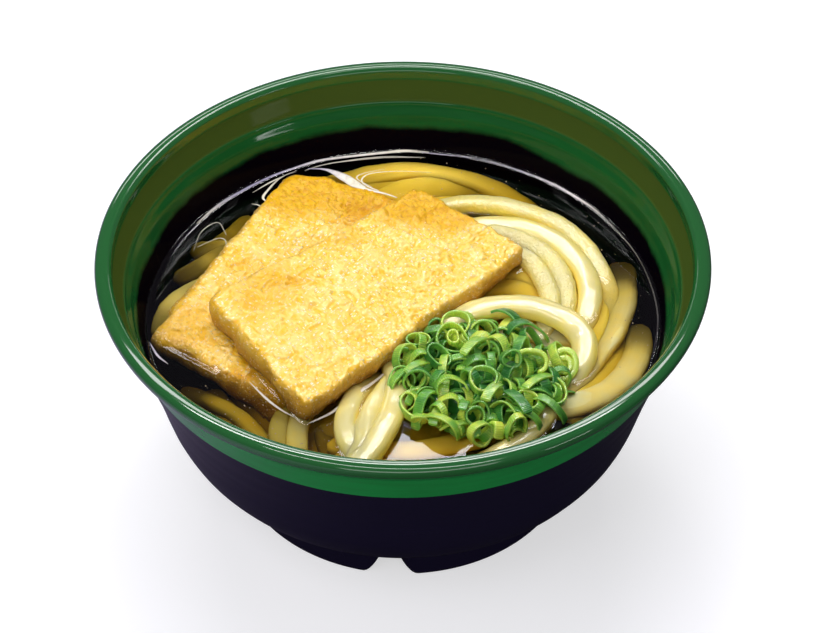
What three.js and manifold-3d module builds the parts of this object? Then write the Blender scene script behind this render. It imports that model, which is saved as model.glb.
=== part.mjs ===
// Udon in clear broth, with two slices of fried tofu and a heap of sliced spring onion,
// served in a two-tone melamine bowl. Millimetres, +Z up. The origin is on the bowl's axis,
// at the underside of its foot.

import * as THREE from 'three';
import { mergeVertices } from 'three/addons/utils/BufferGeometryUtils.js';
import Module from 'manifold-3d';

const wasm = await Module();
wasm.setup();

// Clearance kept between neighbouring pieces.
const GAP = 0.34;
// Detail smaller than this is smoothed away where pieces join.
const FINEST = 0.06;
const FULL_TURN = Math.PI * 2;
const { degToRad, lerp } = THREE.MathUtils;

// Bowl: a hollow foot ring, a full-bellied body and a rolled lip.
const TURN_STEPS = 44;
const FOOT_RADIUS = 53.6;
const FOOT_TOP_RADIUS = 55.6;
const FOOT_HEIGHT = 11.4;
const FOOT_RING_WIDTH = 5.4;
const RECESS_HEIGHT = 8.8;
const FLOOR_HEIGHT = 12.6;
const BROTH_LEVEL = 59;
const BROTH_RADIUS = 79;
const LIP_EDGE_RADIUS = 87.8;
const LIP_EDGE_HEIGHT = 81.7;
// Stations of the body's outside, its lip and its inside, each as [radius, height].
const BODY_OUTSIDE = [[57.4, 12.4], [64.6, 19.6], [70, 25.6], [74.4, 34], [78.8, 50], [83.4, 64], [88.8, 78]];
const LIP = [[88.8, 78], [92, 81.4], [93, 84.1], [92, 85.7], [89.2, 86.2], [87.9, 85.1]];
const WALL_INSIDE = [[LIP_EDGE_RADIUS, LIP_EDGE_HEIGHT], [84.4, 74.9], [82.2, 68.4], [BROTH_RADIUS, BROTH_LEVEL]];
const BELLY_INSIDE = [[BROTH_RADIUS, BROTH_LEVEL], [75.6, 49.6], [71.2, 34.6], [63, 20.6], [54, 13.6], [44, FLOOR_HEIGHT]];

// Drain notches through the foot ring, the first a little to the left of the front.
const NOTCH_COUNT = 3;
const NOTCH_TURN = -4.3;
const NOTCH_TOP_WIDTH = 6;
const NOTCH_MOUTH_WIDTH = 17;
const NOTCH_HEIGHT = 8.5;

// Mass of noodles that fills the bowl's belly, from its shoulder up and inwards.
const MASS_STEPS = 24;
const MASS_SHOULDER = 30;
const MASS_TOP = [[68.6, 31], [68.6, 46], [60, 55.4], [0, 57]];

// Noodles that rise out of the broth. Each is an arc of an ellipse seen from above: its centre,
// its two radii, the angles it runs between, and its centreline's height at the start, crown and end.
const NOODLE_STEPS = 10;
const NOODLES = [
  { name: 'outer_back', centre: [20, 7.4], radii: [44.2, 44.2], from: 100, to: 6, heights: [59.4, 59.7, 56.4], width: 6.6 },
  { name: 'second_back', centre: [26.5, 9.2], radii: [31.3, 31.3], from: 98, to: -26, heights: [59.4, 59.9, 56.4], width: 7.6 },
  { name: 'third_back', centre: [22.3, 8.9], radii: [28, 28], from: 74, to: -12, heights: [59.6, 60.3, 58], width: 6.8 },
  { name: 'inner_back', centre: [12.3, 5.7], radii: [33.1, 33.1], from: 40, to: -4, heights: [59, 59.8, 57.6], width: 6.6 },
  { name: 'top_loop', centre: [33, -16], radii: [22.2, 16.6], from: 142, to: -34, heights: [60.6, 62.4, 56.4], width: 8 },
  { name: 'front_right', centre: [10, -26.4], radii: [36.7, 36.7], from: -20, to: -62, heights: [58.4, 59.4, 57], width: 6.4 },
  { name: 'front_left', centre: [11, -46.4], radii: [28, 28], from: 152, to: 212, heights: [58.6, 59.5, 57.4], width: 7 },
  { name: 'front_middle', centre: [75.8, -70.7], radii: [89.4, 89.4], from: 150, to: 176, heights: [59.2, 59.9, 58], width: 7 },
  { name: 'front_top', centre: [-60.9, -30.7], radii: [59.1, 59.1], from: 2, to: -40, heights: [59.4, 61.6, 58], width: 7.8 },
];
const NOODLE_THICKNESS = 5.6;
const NOODLE_CORNER = 0.34;

// Fried tofu slices: soft rounded slabs, a little longer along one side and wider at one end.
const TOFU_EDGE = 3.4;
const TOFU_CORNER = 3;
const UPPER_TOFU = {
  centre: [-11.3, 5.9, 63.4], heading: 43.1, roll: 4.1,
  length: 90.6, lengthTaper: 3.7, width: 48.6, widthTaper: 2.8, thickness: 8.6,
  dent: { at: [-11, 11], length: 12, width: 1.6, depth: 1.1 },
};
const LOWER_TOFU = {
  centre: [-34.7, 18.2, 55.2], heading: 63.1, roll: 5.6,
  length: 96.4, lengthTaper: 4.1, width: 50.4, widthTaper: 0.4, thickness: 8.6,
  dent: { at: [24, 14], length: 9, width: 1.8, depth: 0.8 },
};

// Heap of spring onion: a low mound under tilted rings and curls cut from the leaf.
const HEAP_CENTRE = [23.6, -29.6];
const HEAP_RADIUS = 24.5;
const HEAP_HEIGHT = 7.4;
const HEAP_EDGE = 1.2;
const HEAP_BASE = 59.6;
const MOUND_SIDES = 18;
const MOUND_STEPS = 4;
const RING_COUNT = 36;
const RING_SIDES = 7;
const RING_WALL = 1.1;
const RING_RADII = [2.6, 4.8];
const RING_LENGTHS = [2.2, 3.2];
const RING_SPREAD = 1.1;
const CURL_SHARE = 0.35;
const RING_LIFTS = [0, 0.8, 1.6, 2.4];
const SEED = 20117;

/** A closed geometry as a solid for joining and cutting. */
function toSolid(geometry) {
  const bare = geometry.clone();
  bare.deleteAttribute('normal');
  bare.deleteAttribute('uv');
  const merged = mergeVertices(bare, 1e-4);
  const corners = merged.index.array;
  const kept = [];
  for (let i = 0; i < corners.length; i += 3) {
    const [a, b, c] = corners.slice(i, i + 3);
    if (a !== b && b !== c && c !== a) kept.push(a, b, c);
  }
  return new wasm.Manifold(new wasm.Mesh({
    numProp: 3,
    vertProperties: new Float32Array(merged.attributes.position.array),
    triVerts: new Uint32Array(kept),
  }));
}

/** The surface of a solid as a geometry. */
function toGeometry(solid) {
  const mesh = solid.getMesh();
  const geometry = new THREE.BufferGeometry();
  geometry.setAttribute('position', new THREE.BufferAttribute(new Float32Array(mesh.vertProperties), 3));
  geometry.setIndex(new THREE.BufferAttribute(new Uint32Array(mesh.triVerts), 1));
  geometry.computeVertexNormals();
  return geometry;
}

/** The largest body of a solid, without the fine detail, hollows and scraps that joining leaves. */
function largestBody(solid, finest = FINEST) {
  const bodies = solid.simplify(finest).decompose();
  return bodies.reduce((best, body) => (body.volume() > best.volume() ? body : best));
}

/** All of the solids as one. */
const joined = (solids) => solids.reduce((all, solid) => all.add(solid));

/** A seeded source of numbers from 0 to 1. */
function randomFrom(seed) {
  let state = seed;
  return () => {
    state = (state + 0x6d2b79f5) | 0;
    let t = Math.imul(state ^ (state >>> 15), 1 | state);
    t = (t + Math.imul(t ^ (t >>> 7), 61 | t)) ^ t;
    return ((t ^ (t >>> 14)) >>> 0) / 4294967296;
  };
}

/** A round solid turned about Z from [radius, height] stations that start and end on the axis. */
function turned(stations, steps = TURN_STEPS) {
  const profile = stations.map(([radius, height]) => new THREE.Vector2(radius, height));
  return toSolid(new THREE.LatheGeometry(profile, steps).rotateX(Math.PI / 2));
}

/** Stations along a smooth line through a few given ones. */
function smoothed(stations, steps) {
  const curve = new THREE.SplineCurve(stations.map(([radius, height]) => new THREE.Vector2(radius, height)));
  return curve.getPoints(steps).map((point) => [point.x, point.y]);
}

/** The bowl's inside, from the floor's centre up to the broth's surface. */
const bellyInside = () => [...smoothed(BELLY_INSIDE, 7), [0, FLOOR_HEIGHT]].reverse();

/** One drain notch: a flat-topped slot with S-shaped sides, lying across the foot ring. */
function notchCutter(turn) {
  const top = NOTCH_TOP_WIDTH / 2;
  const mouth = NOTCH_MOUTH_WIDTH / 2;
  const outline = new THREE.Shape();
  outline.moveTo(-mouth, -1);
  outline.lineTo(-mouth, 0);
  outline.bezierCurveTo(lerp(mouth, top, 0.9) * -1, 0.2, -mouth * 0.62, NOTCH_HEIGHT, -top, NOTCH_HEIGHT);
  outline.lineTo(top, NOTCH_HEIGHT);
  outline.bezierCurveTo(mouth * 0.62, NOTCH_HEIGHT, lerp(mouth, top, 0.9), 0.2, mouth, 0);
  outline.lineTo(mouth, -1);
  outline.closePath();
  const reach = FOOT_RING_WIDTH + 10;
  const slot = new THREE.ExtrudeGeometry(outline, { depth: reach, bevelEnabled: false, curveSegments: 6 });
  slot.rotateX(Math.PI / 2);
  slot.translate(0, -(FOOT_RADIUS - FOOT_RING_WIDTH - 3), 0);
  slot.rotateZ(degToRad(turn));
  return toSolid(slot);
}

/** The bowl, turned in one piece, with the notches cut through its foot. */
function bowl() {
  const innerFoot = FOOT_RADIUS - FOOT_RING_WIDTH;
  const profile = [
    [0, RECESS_HEIGHT],
    [innerFoot - 1.2, RECESS_HEIGHT],
    [innerFoot, RECESS_HEIGHT - 1.4],
    [innerFoot, 0.6],
    [innerFoot + 0.6, 0],
    [FOOT_RADIUS - 0.6, 0],
    [FOOT_RADIUS, 0.6],
    [FOOT_TOP_RADIUS, FOOT_HEIGHT],
    ...smoothed(BODY_OUTSIDE, 7),
    ...smoothed(LIP, 6).slice(1),
    ...WALL_INSIDE.slice(0, -1),
    ...bellyInside().reverse(),
  ];
  let solid = turned(profile);
  for (let i = 0; i < NOTCH_COUNT; i += 1) {
    solid = solid.subtract(notchCutter(NOTCH_TURN + (i * 360) / NOTCH_COUNT));
  }
  return solid;
}

/** The noodle mass under the surface, resting on the bowl's floor. */
function noodleMass() {
  const resting = bellyInside()
    .filter(([, height]) => height < MASS_SHOULDER)
    .map(([radius, height]) => [Math.max(radius - GAP, 0), height + GAP]);
  return turned([...resting, ...MASS_TOP], MASS_STEPS);
}

/** The room that the noodle mass takes up in the broth, all the way down. */
function roomForMass() {
  const sides = MASS_TOP.map(([radius, height]) => [radius > 0 ? radius + GAP : 0, height + GAP]);
  const wide = BROTH_RADIUS + 20;
  return turned([[0, 0], [wide, 0], [wide, sides[0][1]], ...sides], MASS_STEPS);
}

/** A noodle's centreline: an arc that lies level at its crown and sinks towards its ends. */
class NoodleLine extends THREE.Curve {
  constructor(noodle) {
    super();
    this.noodle = noodle;
  }

  getPoint(t, target = new THREE.Vector3()) {
    const { centre, radii, from, to, heights } = this.noodle;
    const [start, crown, end] = heights;
    const angle = degToRad(lerp(from, to, t));
    const sink = Math.abs(2 * t - 1) ** 3;
    const height = crown + ((t < 0.5 ? start : end) - crown) * sink;
    return target.set(centre[0] + radii[0] * Math.cos(angle), centre[1] + radii[1] * Math.sin(angle), height);
  }

  computeFrenetFrames(steps) {
    const up = new THREE.Vector3(0, 0, 1);
    const frames = { tangents: [], normals: [], binormals: [] };
    for (let i = 0; i <= steps; i += 1) {
      const tangent = this.getTangentAt(i / steps, new THREE.Vector3());
      const across = new THREE.Vector3().crossVectors(tangent, up).normalize();
      frames.tangents.push(tangent);
      frames.normals.push(across);
      frames.binormals.push(new THREE.Vector3().crossVectors(tangent, across));
    }
    return frames;
  }
}

/** A noodle, or with growth the room it takes up, as a square-cut strip with soft corners. */
function noodle(spec, growth = 0) {
  const across = spec.width / 2 + growth;
  const deep = NOODLE_THICKNESS / 2 + growth;
  const cut = NOODLE_CORNER * NOODLE_THICKNESS;
  const corners = growth > 0
    ? [[across, -deep], [across, deep], [-across, deep], [-across, -deep]]
    : [
      [across, cut - deep], [across, deep - cut], [across - cut, deep], [cut - across, deep],
      [-across, deep - cut], [-across, cut - deep], [cut - across, -deep], [across - cut, -deep],
    ];
  const section = new THREE.Shape(corners.map(([x, y]) => new THREE.Vector2(x, y)));
  return toSolid(new THREE.ExtrudeGeometry(section, {
    steps: NOODLE_STEPS,
    extrudePath: new NoodleLine(spec),
    bevelEnabled: false,
  }));
}

/** A slab of fried tofu with rounded sides, a dent in its top and an uneven skin. */
function tofuSlice(spec, growth = 0) {
  const { length, lengthTaper, width, widthTaper, thickness, dent } = spec;
  const slab = new THREE.BoxGeometry(2, 2, 2, 12, 6, 4);
  const position = slab.attributes.position;
  for (let i = 0; i < position.count; i += 1) {
    const [u, v, w] = [position.getX(i), position.getY(i), position.getZ(i)];
    const halfLength = length / 2 - lengthTaper * v;
    const halfWidth = width / 2 - widthTaper * u;
    const past = [
      Math.max(Math.abs(u) * halfLength - (halfLength - TOFU_CORNER), 0),
      Math.max(Math.abs(v) * halfWidth - (halfWidth - TOFU_CORNER), 0),
    ];
    const round = Math.max(...past) / Math.max(Math.hypot(...past), 1e-9);
    const inset = TOFU_EDGE * (1 - Math.cos((w * Math.PI) / 2)) - growth;
    const x = Math.sign(u) * (Math.abs(u) * halfLength - (past[0] > 0 ? past[0] * (1 - round) : 0) - inset * Math.abs(u));
    const y = Math.sign(v) * (Math.abs(v) * halfWidth - (past[1] > 0 ? past[1] * (1 - round) : 0) - inset * Math.abs(v));
    const across = (y - dent.at[1]) / dent.width;
    const along = (x - dent.at[0]) / dent.length;
    const uneven = 0.35 * Math.sin(x / 7.3 + 1.2) * Math.cos(y / 5.1) + 0.25 * Math.sin((x + y) / 4.4);
    const relief = w > 0.99 ? uneven - dent.depth * Math.exp(-across * across - along * along) : 0;
    position.setXYZ(i, x, y, (thickness / 2 + growth) * Math.sin((w * Math.PI) / 2) + relief);
  }
  slab.rotateX(degToRad(spec.roll));
  slab.rotateZ(degToRad(spec.heading));
  slab.translate(...spec.centre);
  return toSolid(slab);
}

/** Height of the onion mound above its base at a distance from its centre. */
const moundHeight = (out) => HEAP_EDGE + (HEAP_HEIGHT - HEAP_EDGE) * Math.max(1 - (out / HEAP_RADIUS) ** 2, 0);

/** The mound under the onion rings, or with growth the room it takes up. */
function onionMound(growth = 0) {
  const top = Array.from({ length: MOUND_STEPS + 1 }, (_, i) => {
    const out = HEAP_RADIUS * (1 - i / MOUND_STEPS);
    return [out > 0 ? out + growth : 0, moundHeight(out) + growth];
  });
  const mound = turned([[0, -growth], [HEAP_RADIUS + growth, -growth], ...top], MOUND_SIDES);
  return mound.translate([...HEAP_CENTRE, HEAP_BASE]);
}

/** A ring cut from the leaf or, with part of its turn left out, an open curl. */
function onionRing(radius, length, sweep) {
  const outline = new THREE.Shape();
  outline.absarc(0, 0, radius, 0, sweep, false);
  if (sweep < FULL_TURN) {
    outline.absarc(0, 0, radius - RING_WALL, sweep, 0, true);
    outline.closePath();
  } else {
    const bore = new THREE.Path();
    bore.absarc(0, 0, radius - RING_WALL, 0, FULL_TURN, true);
    outline.holes.push(bore);
  }
  const ring = new THREE.ExtrudeGeometry(outline, { depth: length, bevelEnabled: false, curveSegments: RING_SIDES });
  return ring.translate(0, 0, -length / 2);
}

/** The heap: rings spread evenly over the mound and tilted at random, clear of their neighbours. */
function onionHeap(neighbours) {
  const random = randomFrom(SEED);
  const between = ([low, high]) => lerp(low, high, random());
  const pieces = [onionMound()];
  for (let i = 0; i < RING_COUNT; i += 1) {
    const out = Math.sqrt((i + 0.5) / RING_COUNT);
    const angle = i * Math.PI * (3 - Math.sqrt(5));
    const reach = HEAP_RADIUS * RING_SPREAD * out * (1 + 0.06 * Math.sin(3 * angle));
    const sweep = random() < CURL_SHARE ? FULL_TURN * lerp(0.45, 0.7, random()) : FULL_TURN;
    const ring = onionRing(between(RING_RADII), between(RING_LENGTHS), sweep);
    ring.rotateX(lerp(-1.1, 1.1, random()));
    ring.rotateY(lerp(-1.1, 1.1, random()));
    ring.rotateZ(random() * FULL_TURN);
    ring.computeBoundingBox();
    const lowest = BROTH_LEVEL + GAP - ring.boundingBox.min.z;
    const resting = Math.max(HEAP_BASE + moundHeight(reach) + lerp(0.4, 1.6, random()), lowest);
    ring.translate(HEAP_CENTRE[0] + reach * Math.cos(angle), HEAP_CENTRE[1] + reach * Math.sin(angle), resting);
    const clear = RING_LIFTS.map((lift) => toSolid(ring).translate([0, 0, lift]))
      .find((lifted) => lifted.intersect(neighbours).isEmpty());
    if (clear) pieces.push(clear);
  }
  return largestBody(joined(pieces));
}

/** The broth, up to its level and cut round all that stands in it. */
function broth(room) {
  const inside = bellyInside()
    .slice(0, -1)
    .map(([radius, height]) => [Math.max(radius - GAP, 0), height + GAP]);
  const surface = [[BROTH_RADIUS - GAP, BROTH_LEVEL], [0, BROTH_LEVEL]];
  return largestBody(turned([...inside, ...surface]).subtract(room));
}

/** A named mesh with its own material. */
function piece(name, solid, color, roughness) {
  const mesh = new THREE.Mesh(toGeometry(solid), new THREE.MeshStandardMaterial({ color, roughness, metalness: 0 }));
  mesh.name = name;
  return mesh;
}

const upperRoom = tofuSlice(UPPER_TOFU, GAP);
const lowerRoom = tofuSlice(LOWER_TOFU, GAP);
const upperTofu = tofuSlice(UPPER_TOFU);
const lowerTofu = largestBody(tofuSlice(LOWER_TOFU).subtract(upperRoom));
const toppingRoom = joined([upperRoom, lowerRoom, onionMound(GAP)]);

const noodleRoom = joined([roomForMass(), ...NOODLES.map((spec) => noodle(spec, GAP))]);
const noodles = largestBody(joined([noodleMass(), ...NOODLES.map((spec) => noodle(spec))]).subtract(toppingRoom));
const heap = onionHeap(joined([upperRoom, lowerRoom, noodles]));

const model = new THREE.Group();
model.name = 'udon_bowl';
model.add(
  piece('bowl', bowl(), 0x1c5a2b, 0.22),
  piece('broth', broth(joined([noodleRoom, toppingRoom])), 0xb98a2c, 0.08),
  piece('noodles', noodles, 0xe9e2b8, 0.35),
  piece('fried_tofu_lower', lowerTofu, 0xd9a648, 0.5),
  piece('fried_tofu_upper', upperTofu, 0xdfae54, 0.5),
  piece('spring_onion', heap, 0x4f9a3a, 0.35),
);

export default model;
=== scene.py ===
"""Looks of the udon noodle bowl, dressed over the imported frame.

A green and black lacquered bowl holds clear broth, thick wheat noodles, two slices of fried tofu and a
heap of sliced spring onion. Shapes are worked out in millimetres and become metres in Skin.make.
"""

import logging
import math
from dataclasses import dataclass, field, replace
from enum import Enum

import bpy
import numpy as np
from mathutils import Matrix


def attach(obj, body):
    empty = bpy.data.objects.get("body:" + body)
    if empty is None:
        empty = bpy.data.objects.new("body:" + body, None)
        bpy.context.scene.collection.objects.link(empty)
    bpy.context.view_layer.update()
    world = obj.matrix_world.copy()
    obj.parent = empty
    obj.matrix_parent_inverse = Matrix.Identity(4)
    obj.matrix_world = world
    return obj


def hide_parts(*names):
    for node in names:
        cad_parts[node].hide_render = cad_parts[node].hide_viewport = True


Array = np.ndarray
Marks = dict[str, Array | float]
Socket = bpy.types.NodeSocket

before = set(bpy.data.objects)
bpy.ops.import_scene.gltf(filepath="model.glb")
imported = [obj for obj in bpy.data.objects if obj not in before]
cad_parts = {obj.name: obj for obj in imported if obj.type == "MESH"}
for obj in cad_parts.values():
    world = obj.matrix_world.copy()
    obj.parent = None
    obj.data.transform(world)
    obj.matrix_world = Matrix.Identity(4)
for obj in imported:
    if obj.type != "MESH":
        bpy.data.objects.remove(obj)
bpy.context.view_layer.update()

MILLIMETRE = 0.001
UPWARD = (0.0, 0.0, 1.0)
WHITE = (1.0, 1.0, 1.0)
BLUISH = (0.98, 0.93, 1.2)

# In millimetres: where a turned profile stops beside the axis, and the height of the broth's surface.
NEAR_AXIS = 0.6
BROTH_LEVEL = 59.0

# What a millimetre of broth takes from red, green and blue light, as an exponent of e.
BROTH_LOSS = (0.15, 0.185, 0.47)

log = logging.getLogger("udon")


# Shapes.


def fade(t: Array) -> Array:
    """Rises smoothly from 0 to 1 as t does: three t squared less two t cubed."""
    t = np.clip(t, 0.0, 1.0)
    return t * t * (3.0 - 2.0 * t)


@dataclass(frozen=True)
class Unevenness:
    """A smooth random field from numbers drawn on a cubic lattice."""

    size: float
    seed: int
    octaves: int = 1

    def at(self, points: Array) -> Array:
        """Blends the eight lattice numbers round each point, and adds halved octaves of half the size.

        Args:
            points: places in millimetres, the last axis being x, y and z.

        Returns:
            The field at each place, between about -1 and 1.
        """
        total = np.zeros(points.shape[:-1])
        for octave in range(self.octaves):
            lattice = np.random.default_rng(self.seed + octave).uniform(-1.0, 1.0, (32, 32, 32))
            scaled = points / self.size * 2.0**octave + 100.5 + 7.3 * octave
            cell = np.floor(scaled).astype(int)
            blend = fade(scaled - cell)
            for corner in np.ndindex(2, 2, 2):
                near = (cell + corner) % 32
                weight = np.where(corner, blend, 1.0 - blend).prod(-1)
                total += weight * lattice[near[..., 0], near[..., 1], near[..., 2]] / 2.0**octave
        return total

    def shifts(self, points: Array) -> Array:
        """A field for each axis, from this seed and the two after it."""
        return np.stack([replace(self, seed=self.seed + i).at(points) for i in range(3)], -1)

    def creases(self, points: Array) -> Array:
        """Sharp ridges where the field passes through zero: one less twice its absolute value."""
        return 1.0 - 2.0 * np.abs(self.at(points))


def spline(stations: list | tuple, steps: int) -> Array:
    """A Catmull-Rom curve: cubic stretches whose slope at a station runs between its two neighbours.

    Args:
        stations: points that the curve passes through.
        steps: points on each stretch.

    Returns:
        The points of the curve, the last station included.
    """
    p = np.array(stations, float)
    p = np.concatenate([[2 * p[0] - p[1]], p, [2 * p[-1] - p[-2]]])
    t = np.arange(steps)[None, :, None] / steps
    a, b, c, d = (p[i : len(p) - 3 + i, None] for i in range(4))
    curve = b + 0.5 * t * (c - a + t * (2 * a - 5 * b + 4 * c - d + t * (3 * (b - c) + d - a)))
    return np.concatenate([curve.reshape(-1, p.shape[1]), p[-2:-1]])


def softened(corners: list | tuple, radius: float, step: float) -> Array:
    """Rounds each corner of an open outline with a parabola and divides the straights evenly.

    A corner is left at `radius` before it and reached again at `radius` after it, or at 0.45 of a side
    that is shorter. Between them the point is (1-t)² before + 2t(1-t) corner + t² after.

    Args:
        corners: the outline's corners in order.
        radius: how far from a corner the rounding starts.
        step: longest distance between two points on a straight.

    Returns:
        The points of the rounded outline.
    """
    p = np.array(corners, float)
    sides = np.diff(p, axis=0)
    lengths = np.linalg.norm(sides, axis=1)
    run = [p[:1]]
    t = np.linspace(0.0, 1.0, 6)[:, None]
    for i in range(1, len(p) - 1):
        before = p[i] - sides[i - 1] / lengths[i - 1] * min(radius, 0.45 * lengths[i - 1])
        after = p[i] + sides[i] / lengths[i] * min(radius, 0.45 * lengths[i])
        run += [(1 - t) ** 2 * before + 2 * t * (1 - t) * p[i] + t**2 * after]
    run += [p[-1:]]
    path = np.concatenate(run)
    gaps = np.linalg.norm(np.diff(path, axis=0), axis=1)
    parts = [
        path[i] + (path[i + 1] - path[i]) * np.arange(count)[:, None] / count
        for i, count in enumerate(np.maximum(np.ceil(gaps / step).astype(int), 1))
        if gaps[i] > 1e-6
    ]
    return np.concatenate([*parts, path[-1:]])


def full_turn(steps: int) -> Array:
    """Angles evenly round a full turn, from nothing up."""
    return np.linspace(0.0, 2 * math.pi, steps, endpoint=False)


def spread(numbers: tuple, share: Array) -> Array:
    """Numbers given evenly along a line, read at each share of its length, as a column."""
    return np.interp(share, np.linspace(0.0, 1.0, len(numbers)), numbers)[:, None]


def spun(profile: Array, columns: int) -> Array:
    """Turns a profile of (radius, height) about the Z axis: x = r cos a, y = r sin a, z = height.

    Args:
        profile: the profile's points in order.
        columns: how many steps a full turn takes.

    Returns:
        A grid of points, a row for each profile point.
    """
    angle = full_turn(columns)
    radius, height = profile[:, :1], profile[:, 1:2]
    return np.stack([radius * np.cos(angle), radius * np.sin(angle), height + 0 * angle], -1)


def turned(points: Array, *turns: float) -> Array:
    """Turns points in place about X, then Y, then Z, by angles in radians."""
    for axis, angle in enumerate(turns):
        a, b = (axis + 1) % 3, (axis + 2) % 3
        first, second = points[..., a].copy(), points[..., b].copy()
        points[..., a] = first * math.cos(angle) - second * math.sin(angle)
        points[..., b] = first * math.sin(angle) + second * math.cos(angle)
    return points


def rim(grid: Array) -> Array:
    """A grid's border, once round."""
    return np.concatenate([grid[:-1, 0], grid[-1, :-1], grid[:0:-1, -1], grid[0, :0:-1]])


def unit(vectors: Array) -> Array:
    """Vectors made one long."""
    return vectors / np.linalg.norm(vectors, axis=-1, keepdims=True)


def in_scene(name: str, data: bpy.types.ID) -> bpy.types.Object:
    """A new object of the scene that holds the data."""
    thing = bpy.data.objects.new(name, data)
    bpy.context.scene.collection.objects.link(thing)
    return thing


@dataclass
class Skin:
    """The points and faces of one piece, gathered from grids, with named numbers kept at each point."""

    points: list[Array] = field(default_factory=list)
    faces: list[Array] = field(default_factory=list)
    marks: dict[str, list[Array]] = field(default_factory=dict)
    count: int = 0

    def add_points(self, points: Array, marks: Marks) -> Array:
        """Keeps a grid of points.

        Args:
            points: the grid, in millimetres.
            marks: a number or grid of numbers for each name, the same names on every call.

        Returns:
            The points' numbers in the same layout.
        """
        numbers = self.count + np.arange(points[..., 0].size).reshape(points.shape[:-1])
        self.points.append(points.reshape(-1, 3))
        for name, values in marks.items():
            everywhere = np.broadcast_to(values, points.shape[:-1])
            self.marks.setdefault(name, []).append(everywhere.reshape(-1).astype(np.float32))
        self.count += numbers.size
        return numbers

    def add_faces(self, *corners: Array) -> None:
        """Keeps a face for each set of corner numbers given in grids of equal layout."""
        self.faces.append(np.stack([c.reshape(-1) for c in corners], -1))

    def add_tube(self, rings: Array, marks: Marks, looped: bool = False) -> None:
        """Joins closed rings into a tube, whose ends meet each other or close on their own centres.

        Args:
            rings: a grid whose rows are the rings, counter-clockwise as seen from the last ring.
            marks: numbers to keep at the points.
            looped: whether the last ring joins the first.
        """
        numbers = self.add_points(rings, marks)
        below = numbers if looped else numbers[:-1]
        above = np.roll(numbers, -1, 0) if looped else numbers[1:]
        self.add_faces(below, np.roll(below, -1, 1), np.roll(above, -1, 1), above)
        if looped:
            return
        for end, turn in ((0, -1), (-1, 1)):
            middle = {n: np.broadcast_to(v, rings.shape[:-1])[end].mean() for n, v in marks.items()}
            pole = self.add_points(rings[end].mean(0)[None], middle)
            ring = numbers[end][::turn]
            self.add_faces(np.broadcast_to(pole, ring.shape), ring, np.roll(ring, -1))

    def make(self, name: str, finish: bpy.types.Material, slot: str, *nodes: str) -> None:
        """Makes the piece, lets it ride on the bowl's body and stand for its CAD nodes.

        Args:
            name: the piece's name.
            finish: its material.
            slot: the record's material slot; not used.
            nodes: the CAD nodes that it replaces.
        """
        mesh = bpy.data.meshes.new(name)
        points = np.concatenate(self.points) * MILLIMETRE
        sizes = np.concatenate([np.full(len(f), f.shape[1]) for f in self.faces])
        corners = np.concatenate([f.reshape(-1) for f in self.faces])
        mesh.vertices.add(len(points))
        mesh.vertices.foreach_set("co", points.reshape(-1).astype(np.float32))
        mesh.loops.add(len(corners))
        mesh.loops.foreach_set("vertex_index", corners.astype(np.int32))
        mesh.polygons.add(len(sizes))
        mesh.polygons.foreach_set("loop_start", (np.cumsum(sizes) - sizes).astype(np.int32))
        mesh.update(calc_edges=True)
        mesh.polygons.foreach_set("use_smooth", np.ones(len(sizes), bool))
        for mark, values in self.marks.items():
            mesh.attributes.new(mark, "FLOAT", "POINT").data.foreach_set("value", np.concatenate(values))
        mesh.materials.append(finish)
        piece = in_scene(name, mesh)
        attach(piece, "root")
        if nodes:
            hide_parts(*nodes)
        log.info("%s: %d faces", name, len(sizes))


# Finishes.


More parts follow.
